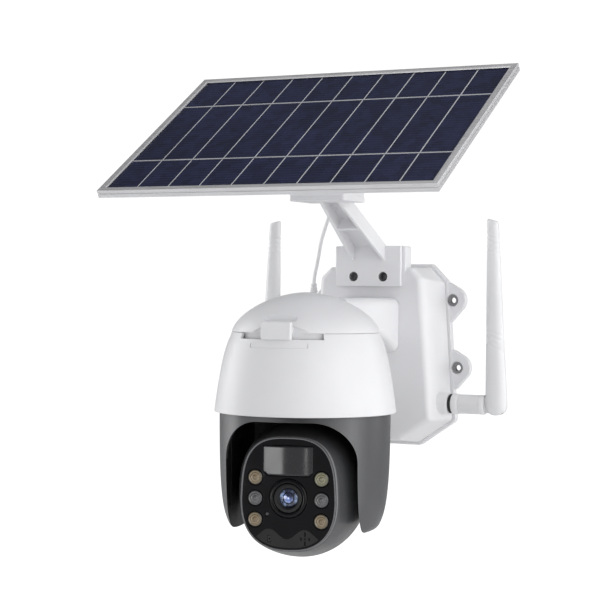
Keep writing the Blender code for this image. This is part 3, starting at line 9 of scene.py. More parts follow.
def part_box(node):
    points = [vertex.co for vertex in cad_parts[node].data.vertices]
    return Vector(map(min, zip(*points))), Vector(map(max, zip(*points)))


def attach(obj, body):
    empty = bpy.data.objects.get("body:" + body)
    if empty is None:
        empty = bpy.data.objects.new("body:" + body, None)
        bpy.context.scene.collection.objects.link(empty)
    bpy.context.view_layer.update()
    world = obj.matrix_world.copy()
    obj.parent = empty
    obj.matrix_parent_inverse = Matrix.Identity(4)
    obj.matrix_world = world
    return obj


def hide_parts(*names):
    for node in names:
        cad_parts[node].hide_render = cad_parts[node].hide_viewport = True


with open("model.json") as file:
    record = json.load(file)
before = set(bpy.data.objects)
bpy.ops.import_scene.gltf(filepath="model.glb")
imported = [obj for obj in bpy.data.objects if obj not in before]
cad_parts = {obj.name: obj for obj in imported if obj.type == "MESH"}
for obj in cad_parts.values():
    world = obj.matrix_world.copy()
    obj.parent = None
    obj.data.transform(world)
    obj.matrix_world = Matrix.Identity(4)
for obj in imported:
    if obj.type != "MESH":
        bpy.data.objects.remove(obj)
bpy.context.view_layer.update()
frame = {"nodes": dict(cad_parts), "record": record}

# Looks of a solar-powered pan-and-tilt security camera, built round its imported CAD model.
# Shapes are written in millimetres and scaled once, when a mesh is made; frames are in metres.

MM = 0.001
HOUSING, YOKE, HEAD = "housing", "yoke", "head"
ROUND = 112                         # facets round a large turned piece
GAP = 0.3                           # air left between pieces that touch


# --- frames taken from the CAD model ---------------------------------------------------------------
def middle(node):
    low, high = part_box(node)
    return (low + high) / 2


def joint(name):
    return next(j for j in frame["record"]["behaviour"]["joints"] if j["name"] == name)


WORLD = Matrix.Identity(4)
UPRIGHT = Matrix.Rotation(math.radians(90), 4, "X")    # local XY becomes XZ, local Z points to the front
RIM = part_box("hood")[0].z
DOME = Matrix.Translation((middle("hood").x, middle("hood").y, RIM))
PAN_REST = math.atan2(joint("tilt")["axis"][1], joint("tilt")["axis"][0])
PAN = DOME @ Matrix.Rotation(PAN_REST, 4, "Z")
TILT = Matrix.Translation(joint("tilt")["pos_m"]) @ Matrix.Rotation(PAN_REST, 4, "Z")
FACE_DISTANCE = 42.0
FACE = TILT @ Matrix.Translation((0, -FACE_DISTANCE * MM, 0)) @ UPRIGHT

PANEL_TILT = math.radians(32.07)
PANEL_LENGTH = 240.2
PANEL_WIDTH = 166.4
PANEL_DEPTH = 5.8
PANEL = (Matrix.Translation(middle("panel_frame")) @ Matrix.Rotation(PANEL_TILT, 4, "X")
         @ Matrix.Translation((0, 0, PANEL_DEPTH / 2 * MM)))


# --- materials -------------------------------------------------------------------------------------
class Look:
    """A Principled material with a few helpers for its nodes."""

    def __init__(self, name, colour, roughness, metallic=0.0, coat=0.0, specular=0.5):
        self.material = bpy.data.materials.new(name)
        self.material.use_nodes = True
        self.tree = self.material.node_tree
        self.shader = self.tree.nodes["Principled BSDF"]
        self.shader.inputs["Base Color"].default_value = (*colour, 1.0)
        self.shader.inputs["Roughness"].default_value = roughness
        self.shader.inputs["Metallic"].default_value = metallic
        self.shader.inputs["Coat Weight"].default_value = coat
        self.shader.inputs["Coat Roughness"].default_value = 0.04
        self.shader.inputs["Specular IOR Level"].default_value = specular
        self.coordinates = self.tree.nodes.new("ShaderNodeTexCoord").outputs["Object"]

    def link(self, start, end):
        self.tree.links.new(start, end)

    def stretched(self, scale):
        mapping = self.tree.nodes.new("ShaderNodeMapping")
        mapping.inputs["Scale"].default_value = scale
        self.link(self.coordinates, mapping.inputs["Vector"])
        return mapping.outputs["Vector"]

    def noise(self, scale, detail=3.0, vector=None):
        made = self.tree.nodes.new("ShaderNodeTexNoise")
        made.inputs["Scale"].default_value = scale
        made.inputs["Detail"].default_value = detail
        self.link(vector or self.coordinates, made.inputs["Vector"])
        return made.outputs["Fac"]

    def grains(self, scale):
        made = self.tree.nodes.new("ShaderNodeTexVoronoi")
        made.inputs["Scale"].default_value = scale
        self.link(self.coordinates, made.inputs["Vector"])
        return made.outputs["Color"]

    def radius(self):
        """Distance from the object's local Z axis, in metres."""
        parts = self.tree.nodes.new("ShaderNodeVectorMath")
        parts.operation = "MULTIPLY"
        parts.inputs[1].default_value = (1.0, 1.0, 0.0)
        self.link(self.coordinates, parts.inputs[0])
        length = self.tree.nodes.new("ShaderNodeVectorMath")
        length.operation = "LENGTH"
        self.link(parts.outputs["Vector"], length.inputs[0])
        return length.outputs["Value"]

    def spread(self, value, low, high, start=0.35, end=0.65):
        made = self.tree.nodes.new("ShaderNodeMapRange")
        made.inputs["From Min"].default_value = start
        made.inputs["From Max"].default_value = end
        made.inputs["To Min"].default_value = low
        made.inputs["To Max"].default_value = high
        self.link(value, made.inputs["Value"])
        return made.outputs["Result"]

    def ramp(self, value, *stops):
        made = self.tree.nodes.new("ShaderNodeValToRGB")
        elements = made.color_ramp.elements
        while len(elements) < len(stops):
            elements.new(0.5)
        for element, (place, colour) in zip(elements, stops):
            element.position = place
            element.color = (*colour, 1.0)
        self.link(value, made.inputs["Fac"])
        return made.outputs["Color"]

    def mixed(self, factor, first, second, blend="MIX"):
        made = self.tree.nodes.new("ShaderNodeMix")
        made.data_type = "RGBA"
        made.blend_type = blend
        if isinstance(factor, float):
            made.inputs[0].default_value = factor
        else:
            self.link(factor, made.inputs[0])
        self.link(first, made.inputs[6])
        self.link(second, made.inputs[7])
        return made.outputs[2]

    def colour(self, socket):
        self.link(socket, self.shader.inputs["Base Color"])
        return self

    def rough(self, low, high, scale=60.0):
        self.link(self.spread(self.noise(scale), low, high), self.shader.inputs["Roughness"])
        return self

    def bump(self, height, distance, strength=1.0):
        made = self.tree.nodes.new("ShaderNodeBump")
        made.inputs["Strength"].default_value = strength
        made.inputs["Distance"].default_value = distance
        self.link(height, made.inputs["Height"])
        self.link(made.outputs["Normal"], self.shader.inputs["Normal"])
        return self


def moulded(name, tone, spread=0.05, roughness=(0.34, 0.44), grain=0.00003, grain_scale=1500.0, **more):
    """Injection-moulded plastic: slightly uneven tone and gloss over a fine grain."""
    look = Look(name, tone, roughness[0], **more)
    dark = tuple(channel * (1 - spread) for channel in tone)
    light = tuple(min(1.0, channel * (1 + spread / 2)) for channel in tone)
    look.colour(look.ramp(look.noise(22.0, 5.0), (0.3, dark), (0.7, light)))
    look.rough(*roughness)
    look.bump(look.noise(grain_scale, 2.0), grain)
    return look.material


def brushed(name, tone, roughness, lines=(1.0, 1.0, 60.0), metallic=1.0):
    """Metal with fine lines drawn across one direction."""
    look = Look(name, tone, roughness, metallic)
    streaks = look.noise(40.0, 4.0, look.stretched(lines))
    dark = tuple(channel * 0.82 for channel in tone)
    look.colour(look.ramp(streaks, (0.3, dark), (0.7, tone)))
    look.link(look.spread(streaks, roughness * 0.8, roughness * 1.25), look.shader.inputs["Roughness"])
    look.bump(streaks, 0.00002)
    return look.material


def cell_material():
    """Polycrystalline silicon behind glass: blue grains with the fine printed fingers."""
    look = Look("silicon_cells", (0.013, 0.016, 0.045), 0.30, coat=0.09, specular=0.09)
    grains = look.ramp(look.grains(170.0), (0.0, (0.0085, 0.011, 0.032)), (1.0, (0.018, 0.023, 0.064)))
    cloudy = look.ramp(look.noise(14.0, 4.0), (0.3, (0.75, 0.78, 0.85)), (0.7, (1.1, 1.08, 1.15)))
    toned = look.mixed(1.0, grains, cloudy, "MULTIPLY")
    fingers = look.tree.nodes.new("ShaderNodeTexWave")
    fingers.bands_direction = "Y"
    fingers.inputs["Scale"].default_value = 95.0
    look.link(look.coordinates, fingers.inputs["Vector"])
    line = look.spread(fingers.outputs["Fac"], 0.0, 0.10, 0.86, 0.97)
    pale = look.ramp(look.noise(200.0), (0.0, (0.15, 0.16, 0.20)), (1.0, (0.22, 0.23, 0.27)))
    look.colour(look.mixed(line, toned, pale))
    look.rough(0.24, 0.36, 90.0)
    return look.material


def led_material(name, rim, cup, core):
    """Domed emitter seen through resin: colour runs from the rim to the chip, with light and dark rings and a
    lighter core painted in as highlights and shade of the dome.
    """
    look = Look(name, cup, 0.12, coat=1.0)
    # the rings below and the lighter core are painted highlights and painted shade; the amber, olive or grey
    # tone is the LED's own
    shade = [tuple(channel * factor for channel in cup) for factor in (0.42, 0.8, 0.35)]
    rings = look.ramp(look.spread(look.radius(), 0.0, 1.0, 0.0, 0.0049),
                      (0.0, core), (0.16, tuple(c * 0.8 for c in core)), (0.30, shade[0]), (0.44, cup),
                      (0.58, shade[2]), (0.74, shade[1]), (0.88, rim), (1.0, tuple(c * 0.6 for c in rim)))
    speckle = look.ramp(look.noise(900.0, 4.0), (0.3, (0.78, 0.78, 0.78)), (0.7, (1.12, 1.12, 1.12)))
    look.colour(look.mixed(1.0, rings, speckle, "MULTIPLY"))
    look.rough(0.08, 0.2, 400.0)
    return look.material


def glass_with_painted_reflections():
    """Front element: deep black with painted reflections: blue and violet rings for its coating's reflections
    and bright patches for glints of the lights.
    """
    look = Look("lens_coating_painted_reflections", (0.01, 0.012, 0.04), 0.04, coat=1.0, specular=0.8)
    # painted reflections: the blue and violet rings stand for the coating's reflections, the pale centre for
    # a highlight
    rings = look.ramp(look.spread(look.radius(), 0.0, 1.0, 0.0, 0.0062),
                      (0.0, (0.62, 0.70, 0.92)), (0.13, (0.10, 0.14, 0.34)), (0.28, (0.06, 0.09, 0.25)),
                      (0.42, (0.16, 0.22, 0.42)), (0.56, (0.06, 0.09, 0.24)), (0.74, (0.17, 0.23, 0.40)),
                      (0.92, (0.20, 0.25, 0.38)), (1.0, (0.03, 0.04, 0.08)))
    # painted highlights: bright patches, above white, where the lights glint on the glass
    clouds = look.ramp(look.noise(230.0, 2.0), (0.42, (0.12, 0.12, 0.16)), (0.52, (0.9, 0.9, 0.9)),
                       (0.62, (2.6, 2.6, 2.4)))
    look.colour(look.mixed(1.0, rings, clouds, "MULTIPLY"))
    return look.material


def painted_sheen_plastic(name, *stops):
    """Dark plastic with a painted highlight and painted shade: its tone shifts with the angle it is seen at.
    """
    look = Look(name, stops[0][1], 0.34)
    facing = look.tree.nodes.new("ShaderNodeLayerWeight")
    facing.inputs["Blend"].default_value = 0.5
    # painted highlight band and painted shade: the colour is ramped by the angle the surface is seen at
    shade = look.ramp(facing.outputs["Facing"], *stops)
    clouds = look.ramp(look.noise(22.0, 5.0), (0.3, (0.92, 0.92, 0.92)), (0.7, (1.04, 1.04, 1.04)))
    look.colour(look.mixed(1.0, shade, clouds, "MULTIPLY"))
    look.rough(0.30, 0.40)
    look.bump(look.noise(1900.0, 2.0), 0.00003)
    return look.material


WHITE = moulded("white_plastic", (0.80, 0.80, 0.815), 0.035)
WHITE_FINE = moulded("white_plastic_fine", (0.81, 0.81, 0.82), 0.03, (0.28, 0.36), 0.00002, 2200.0)
GREY = moulded("dark_grey_plastic", (0.088, 0.089, 0.093), 0.10, (0.30, 0.40), 0.00003, 1900.0)
# head shell: grey with a painted highlight band at mid angles and painted shade facing the camera and at
# grazing angles
HEAD_GREY_PAINTED_SHEEN = painted_sheen_plastic("head_grey_painted_sheen", (0.0, (0.075, 0.076, 0.079)), (0.09, (0.105, 0.106, 0.11)),
                    (0.18, (0.20, 0.202, 0.208)), (0.28, (0.20, 0.202, 0.208)), (0.40, (0.07, 0.071, 0.074)))
# yoke: grey with a painted highlight band at mid angles and painted shade facing the camera and at grazing
# angles
YOKE_GREY_PAINTED_SHEEN = painted_sheen_plastic("yoke_grey_painted_sheen", (0.0, (0.030, 0.031, 0.033)), (0.05, (0.066, 0.067, 0.070)),
                    (0.16, (0.135, 0.137, 0.142)), (0.34, (0.083, 0.084, 0.088)),
                    (0.6, (0.072, 0.073, 0.077)))
GLOSS_BLACK = moulded("black_gloss", (0.005, 0.005, 0.006), 0.2, (0.06, 0.12), 0.000004, 300.0, specular=0.24)
MATT_BLACK = moulded("black_matt", (0.010, 0.010, 0.011), 0.15, (0.45, 0.60), 0.00004, 1600.0)
BLACK = moulded("black_plastic", (0.022, 0.022, 0.024), 0.15, (0.38, 0.5), 0.00003)
SMOKED = moulded("smoked_window", (0.020, 0.020, 0.022), 0.1, (0.10, 0.16), 0.000004, 400.0, specular=0.7)
RIM_GREY = moulded("face_edge", (0.15, 0.15, 0.155), 0.1, (0.22, 0.30))
SENSOR_GREY = moulded("sensor_window", (0.06, 0.06, 0.065), 0.1, (0.12, 0.2))
RUBBER = moulded("rubber", (0.028, 0.028, 0.028), 0.15, (0.7, 0.85), 0.00005, 900.0)
NYLON = moulded("natural_nylon", (0.72, 0.70, 0.64), 0.06, (0.42, 0.55))
BACKSHEET = moulded("white_backsheet", (0.70, 0.71, 0.73), 0.04, (0.35, 0.45), 0.00003, 700.0)
ALUMINIUM = brushed("anodised_aluminium", (0.83, 0.83, 0.85), 0.36, (1.0, 40.0, 40.0), 0.75)
STEEL = brushed("steel", (0.55, 0.55, 0.56), 0.28)
BRIGHT_GREY = brushed("eyelet_steel", (0.34, 0.34, 0.35), 0.4)
DARK_STEEL = brushed("blackened_steel", (0.10, 0.10, 0.105), 0.38)
RIBBON = brushed("tinned_ribbon", (0.62, 0.63, 0.66), 0.42, (1.0, 50.0, 50.0), 0.4)
CELLS = cell_material()
CIRCUIT = moulded("circuit_board", (0.02, 0.11, 0.045), 0.25, (0.35, 0.5), 0.00005, 500.0)
SLEEVE = moulded("cell_sleeve", (0.03, 0.15, 0.21), 0.1, (0.25, 0.35))
AMBER = led_material("led_amber", (0.07, 0.058, 0.044), (0.38, 0.295, 0.18), (0.24, 0.165, 0.09))
OLIVE = led_material("led_olive", (0.07, 0.067, 0.05), (0.36, 0.345, 0.22), (0.24, 0.23, 0.14))
CLEAR = led_material("led_clear", (0.06, 0.061, 0.064), (0.18, 0.18, 0.185), (0.11, 0.11, 0.115))
LENS = glass_with_painted_reflections()

NODE_LOOKS = {
    "white_plastic": WHITE, "grey_plastic": GREY, "black_gloss": GLOSS_BLACK, "black_plastic": BLACK,
    "panel_frame": ALUMINIUM, "solar_cells": CELLS, "steel": STEEL, "dark_steel": DARK_STEEL,
    "motor_can": STEEL, "circuit_board": CIRCUIT, "battery_cell": SLEEVE, "rubber_seal": RUBBER,
    "nylon_gear": NYLON, "lens_glass": LENS, "led_amber": AMBER, "led_clear": CLEAR,
}
for entry in frame["record"]["subparts"]:
    for slot_of_node in frame["nodes"][entry["node"]].material_slots:
        slot_of_node.material = NODE_LOOKS[entry["material_slot"]]


# --- mesh making -----------------------------------------------------------------------------------
def made(name, bm, look, at):
    bmesh.ops.recalc_face_normals(bm, faces=bm.faces[:])
    bmesh.ops.scale(bm, vec=(MM, MM, MM), verts=bm.verts[:])
    mesh = bpy.data.meshes.new(name)
    bm.to_mesh(mesh)
    bm.free()
    return placed(name, mesh, look, at)


def placed(name, mesh, look, at):
    obj = bpy.data.objects.new(name, mesh)
    bpy.context.scene.collection.objects.link(obj)
    obj.matrix_world = at
    mesh.materials.clear()
    mesh.materials.append(look)
    return obj


def lathe(name, profile, look, at=WORLD, steps=ROUND, closed=False):
    """A profile of (radius, height) turned about local Z; closed joins its last point to its first."""
    bm = bmesh.new()
    rows = []
    for radius, height in profile:
        if radius == 0:
            rows.append([bm.verts.new((0, 0, height))] * steps)
        else:
            turns = [2 * math.pi * i / steps for i in range(steps)]
            rows.append([bm.verts.new((radius * math.cos(a), radius * math.sin(a), height)) for a in turns])
    pairs = list(zip(rows, rows[1:])) + ([(rows[-1], rows[0])] if closed else [])
    for upper, lower in pairs:
        for i in range(steps):
            k = (i + 1) % steps
            corners = list(dict.fromkeys((upper[i], upper[k], lower[k], lower[i])))
            if len(corners) > 2:
                bm.faces.new(corners)
    return made(name, bm, look, at)


def skin(name, rings, look, at=WORLD, closed=False):
    """Skin over rings of equally many points; closed joins the last ring to the first."""
    bm = bmesh.new()
    rows = [[bm.verts.new(point) for point in ring] for ring in rings]
    count = len(rows[0])
    for first, second in list(zip(rows, rows[1:])) + ([(rows[-1], rows[0])] if closed else []):
        for i in range(count):
            bm.faces.new((first[i], first[(i + 1) % count], second[(i + 1) % count], second[i]))
    if not closed:
        bm.faces.new(rows[0][::-1])
        bm.faces.new(rows[-1])
    return made(name, bm, look, at)


def slab(name, outlines, low, high, look, at=WORLD, edge=0.0, steps=3):
    """Flat outlines, the first round the piece and the others its holes, with rounded rims."""
    curve = bpy.data.curves.new(name, "CURVE")
    curve.dimensions = "2D"
    curve.fill_mode = "BOTH"
    curve.extrude = ((high - low) / 2 - edge) * MM
    curve.bevel_depth = edge * MM
    curve.bevel_resolution = steps
    curve.offset = -edge * MM
    for outline in outlines:
        spline = curve.splines.new("POLY")
        spline.points.add(len(outline) - 1)
        for point, (x, y) in zip(spline.points, outline):
            point.co = (x * MM, y * MM, 0.0, 1.0)
        spline.use_cyclic_u = True
    return placed(name, mesh_from_curve(name, curve, (0, 0, (high + low) / 2 * MM)), look, at)


def mesh_from_curve(name, curve, shift=(0, 0, 0)):
    guide = bpy.data.objects.new(name, curve)
    bpy.context.scene.collection.objects.link(guide)
    bpy.context.view_layer.update()
    mesh = bpy.data.meshes.new_from_object(guide.evaluated_get(bpy.context.evaluated_depsgraph_get()))
    bpy.data.objects.remove(guide, do_unlink=True)
    bm = bmesh.new()
    bm.from_mesh(mesh)
    bmesh.ops.remove_doubles(bm, verts=bm.verts[:], dist=0.000004)
    bmesh.ops.recalc_face_normals(bm, faces=bm.faces[:])
    bmesh.ops.translate(bm, vec=shift, verts=bm.verts[:])
    bm.to_mesh(mesh)
    bm.free()
    return mesh


def bar(name, size, centre, look=None, at=WORLD):
    """A rectangular cutter or core."""
    half = [s / 2 for s in size]
    ring = [(-1, -1), (1, -1), (1, 1), (-1, 1)]
    rings = [[(centre[0] + sx * half[0], centre[1] + sy * half[1], centre[2] + sz * half[2])
              for sx, sy in ring] for sz in (-1, 1)]
    return skin(name, rings, look or WHITE, at)


def arc_bar(name, radii, heights, bearings, look=None, at=DOME, steps=14):
    """A curved bar between two radii, two heights and two bearings in degrees from the front."""
    rings = []
    for i in range(steps + 1):
        a = math.radians(bearings[0] + (bearings[1] - bearings[0]) * i / steps)
        rings.append([(r * math.sin(a), -r * math.cos(a), z)
                      for r, z in ((radii[0], heights[0]), (radii[1], heights[0]),
                                   (radii[1], heights[1]), (radii[0], heights[1]))])
    return skin(name, rings, look or WHITE, at)


def merge_close(mesh):
    """Joins the points that a cut or a rounded edge leaves on top of each other."""
    bm = bmesh.new()
    bm.from_mesh(mesh)
    bmesh.ops.remove_doubles(bm, verts=bm.verts[:], dist=0.000006)
    bmesh.ops.dissolve_degenerate(bm, dist=0.000002, edges=bm.edges[:])
    bm.to_mesh(mesh)
    bm.free()


def combined(obj, tools, operation):
    for tool in tools:
        modifier = obj.modifiers.new(operation.lower(), "BOOLEAN")
        modifier.operation = operation
        modifier.solver = "EXACT"
        modifier.object = tool
    return settle(obj)


def carve(obj, *tools):
    return combined(obj, tools, "DIFFERENCE")


def weld(obj, *tools):
    return combined(obj, tools, "UNION")


def settle(obj):
    """Applies the modifiers and removes the tools that they used."""
    tools = {m.object for m in obj.modifiers if m.type == "BOOLEAN"}
    bpy.context.view_layer.update()
    shape = obj.evaluated_get(bpy.context.evaluated_depsgraph_get())
    mesh = bpy.data.meshes.new_from_object(shape)
    merge_close(mesh)
    obj.modifiers.clear()
    look = obj.data.materials[0]
    obj.data = mesh
    mesh.materials.clear()
    mesh.materials.append(look)
    for tool in tools:
        bpy.data.objects.remove(tool, do_unlink=True)
    return obj


def soften(obj, width, segments=3, angle=32):
    """Rounds the edges sharper than an angle, by a width in millimetres."""
    modifier = obj.modifiers.new("rounding", "BEVEL")
    modifier.width = width * MM
    modifier.segments = segments
    modifier.limit_method = "ANGLE"
    modifier.angle_limit = math.radians(angle)
    return settle(obj)


def belongs(obj, body, slot, *nodes, sharp=42, flat=True):
    """Smooth shading, then the body and the CAD nodes that the piece stands for; the slot argument is not
    used.
    """
    obj.data.polygons.foreach_set("material_index", [0] * len(obj.data.polygons))
    obj.data.shade_smooth()
    obj.data.set_sharp_from_angle(angle=math.radians(sharp))
    if flat:
        normals = obj.modifiers.new("even_normals", "WEIGHTED_NORMAL")
        normals.keep_sharp = True
    if nodes:
        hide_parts(*nodes)
    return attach(obj, body)


# --- outlines --------------------------------------------------------------------------------------
def arc(centre, radius, start, end, steps):
    """Points on an arc, angles in degrees."""
    angles = [math.radians(start + (end - start) * i / steps) for i in range(steps + 1)]
    return [(centre[0] + radius * math.cos(a), centre[1] + radius * math.sin(a)) for a in angles]


def disc(centre, radius, steps=40):
    return arc(centre, radius, 0, 360 - 360 / steps, steps - 1)


def rounded_box(half_width, bottom, top, radius, steps=8):
    corners = ((half_width - radius, top - radius, 0), (radius - half_width, top - radius, 90),
               (radius - half_width, bottom + radius, 180), (half_width - radius, bottom + radius, 270))
    points = []
    for x, y, start in corners:
        points += arc((x, y), radius, start, start + 90, steps)
    return points


def grown(outline, distance):
    """A convex outline, listed anticlockwise, moved outwards by a distance."""
    result = []
    count = len(outline)
    for i in range(count):
        before, here, after = (Vector(outline[(i + k) % count]) for k in (-1, 0, 1))
        first, second = (here - before).normalized(), (after - here).normalized()
        out_first, out_second = Vector((first.y, -first.x)), Vector((second.y, -second.x))
        between = (out_first + out_second).normalized()
        result.append(tuple(here + between * distance / between.dot(out_first)))
    return result


def filleted(outline, radius, steps=6):
    """A convex outline, listed anticlockwise, with every corner rounded."""
    result = []
    count = len(outline)
    for i in range(count):
        before, here, after = (Vector(outline[(i + k) % count]) for k in (-1, 0, 1))
        back, ahead = (before - here).normalized(), (after - here).normalized()
        half = back.angle(ahead) / 2
        centre = here + (back + ahead).normalized() * radius / math.sin(half)
        start = here + back * radius / math.tan(half) - centre
        end = here + ahead * radius / math.tan(half) - centre
        turn = start.angle(end)
        for k in range(steps + 1):
            a = turn * k / steps
            result.append(tuple(centre + Vector((start.x * math.cos(a) - start.y * math.sin(a),
                                                 start.x * math.sin(a) + start.y * math.cos(a)))))
    return result


def superellipse(angle, half_width, half_height, upper, lower, taper):
    power = upper if math.sin(angle) >= 0 else lower
    x = half_width * math.copysign(abs(math.cos(angle)) ** (2 / power), math.cos(angle))
    z = half_height * math.copysign(abs(math.sin(angle)) ** (2 / power), math.sin(angle))
    return x * (1 - taper * z / half_height), z


# --- solar panel -----------------------------------------------------------------------------------
LIP = 4.7                           # frame seen from above
LIP_THICKNESS = 1.0
CELL_COLUMNS = 10
CELL_HALF_LENGTH = 116.0
CELL_HALF_WIDTH = 79.0
CELL_GAP = 1.1
RIBBON_Y = 40.0
RIBBON_WIDTH = 1.3
BACKSHEET_TOP = -1.75
LAMINATE_BOTTOM = -4.1
CELL_THICKNESS = 0.25
JUNCTION_WIDTH = 46.0
JUNCTION_HALF_LENGTH = 15.0
JUNCTION_DEPTH = 13.0
JUNCTION_UP_SLOPE = 56.0
LID_SEAM = 10.4                     # below the panel's back


def panel_ring(inset, height):
    x, y = PANEL_LENGTH / 2 - inset, PANEL_WIDTH / 2 - inset
    return [(-x, -y, height), (x, -y, height), (x, y, height), (-x, y, height)]


def make_panel():
    low = -PANEL_DEPTH
    profile = [(LIP, -LIP_THICKNESS), (LIP - 0.25, -0.3), (LIP - 0.7, -0.05), (LIP - 1.2, 0.0), (0.55, 0.0),
               (0.15, -0.15), (0.0, -0.5), (0.0, -2.1), (0.35, -2.35), (0.35, -2.75), (0.0, -3.0),
               (0.0, low + 0.4), (0.12, low + 0.12), (0.4, low), (LIP, low), (LIP, low + LIP_THICKNESS),
               (1.5, low + LIP_THICKNESS), (1.5, -LIP_THICKNESS)]
    bars = skin("solar_panel_frame", [panel_ring(u, z) for u, z in profile], ALUMINIUM, PANEL, closed=True)
    belongs(bars, HOUSING, "panel_frame", "panel_frame", sharp=30)
    sheet = slab("solar_backsheet", [rounded_box(PANEL_LENGTH / 2 - 1.8, 1.8 - PANEL_WIDTH / 2,
                                                 PANEL_WIDTH / 2 - 1.8, 0.5, 2)],
                 LAMINATE_BOTTOM, BACKSHEET_TOP, BACKSHEET, PANEL, 0.1, 0)
    belongs(sheet, HOUSING, "solar_cells", "panel_laminate")
    pitch = 2 * CELL_HALF_LENGTH / CELL_COLUMNS
    bm = bmesh.new()
    for column in range(CELL_COLUMNS):
        left = -CELL_HALF_LENGTH + column * pitch + CELL_GAP / 2
        right = left + pitch - CELL_GAP
        corners = [(left, -CELL_HALF_WIDTH), (right, -CELL_HALF_WIDTH), (right, CELL_HALF_WIDTH),
                   (left, CELL_HALF_WIDTH)]
        base = bm.faces.new([bm.verts.new((x, y, BACKSHEET_TOP)) for x, y in corners])
        lifted = bmesh.ops.extrude_face_region(bm, geom=[base])["geom"]
        moved = [v for v in lifted if isinstance(v, bmesh.types.BMVert)]
        bmesh.ops.translate(bm, vec=(0, 0, CELL_THICKNESS), verts=moved)
    belongs(made("solar_cells", bm, CELLS, PANEL), HOUSING, "solar_cells")
    for number, y in enumerate((-RIBBON_Y, RIBBON_Y), 1):
        strip = rounded_box(CELL_HALF_LENGTH + 0.8, y - RIBBON_WIDTH / 2, y + RIBBON_WIDTH / 2, 0.3, 2)
        ribbon = slab("solar_ribbon_%d" % number, [strip], BACKSHEET_TOP + 0.1, BACKSHEET_TOP + 0.42,
                      RIBBON, PANEL, 0.08, 1)
        belongs(ribbon, HOUSING, "panel_frame")


def make_junction_box():
    width, half_length, up_slope = JUNCTION_WIDTH, JUNCTION_HALF_LENGTH, JUNCTION_UP_SLOPE
    top = LAMINATE_BOTTOM - GAP
    outline = rounded_box(width / 2, up_slope - half_length, up_slope + half_length, 3.0)
    body = slab("junction_box_body", [outline], top - LID_SEAM, top, BLACK, PANEL, 0.8)
    lid = slab("junction_box_lid", [grown(outline, -0.4)], top - JUNCTION_DEPTH, top - LID_SEAM + 0.2, BLACK,
               PANEL, 1.0)
    recess = slab("lid_recess", [rounded_box(width / 2 - 6, up_slope - half_length + 5,
                                             up_slope + half_length - 5, 2.0)],
                  top - 14.0, top - 12.4, BLACK, PANEL)
    carve(lid, recess)
    belongs(body, HOUSING, "black_plastic", "junction_box")
    belongs(lid, HOUSING, "black_plastic")
    side = (PANEL @ Matrix.Translation((-width / 2 * MM, up_slope * MM, (top - JUNCTION_DEPTH / 2) * MM))
            @ Matrix.Rotation(math.radians(-90), 4, "Y"))
    nut = [(0, 0.0), (4.0, 0.0), (4.0, 2.4), (3.6, 2.8), (3.3, 3.0), (3.2, 5.0), (2.4, 5.9), (1.6, 5.9),
           (0, 5.9)]
    belongs(lathe("junction_gland_nut", nut, BLACK, side, 48), HOUSING, "black_plastic")


# --- panel bracket ---------------------------------------------------------------------------------
FRONT_OF_BOX = -40.0
FOOT_THICKNESS = 3.4
ARM_ROOT = Vector((0, -43.4, 68.0))
ARM_TIP = Vector((0, -111.0, 108.4))
ARM_HALVES = (13.3, 7.6)
ARM_DEPTH = 11.0
ARM_WEB = 2.4
PAD_HALF = 20.5
PAD_Y = (-128.0, -94.0)
PAD_Z = (106.6, 110.6)
STEM_TOP = (30.0, 22.0)
SCREW_X = 11.4
SCREW_Z = 56.9
SCREW_RADIUS = 3.0
TAB_Z = (50.0, 78.7)
TAB_HALF = 27.4
TAB_DEPTH = 10.4
FOOT_HALF = 25.0
FOOT_CUT = 4.0                      # cut corner of the foot
ARM_BAYS = ((-0.2, 0.50), (0.53, 0.985))    # hollows, as shares of the arm's length


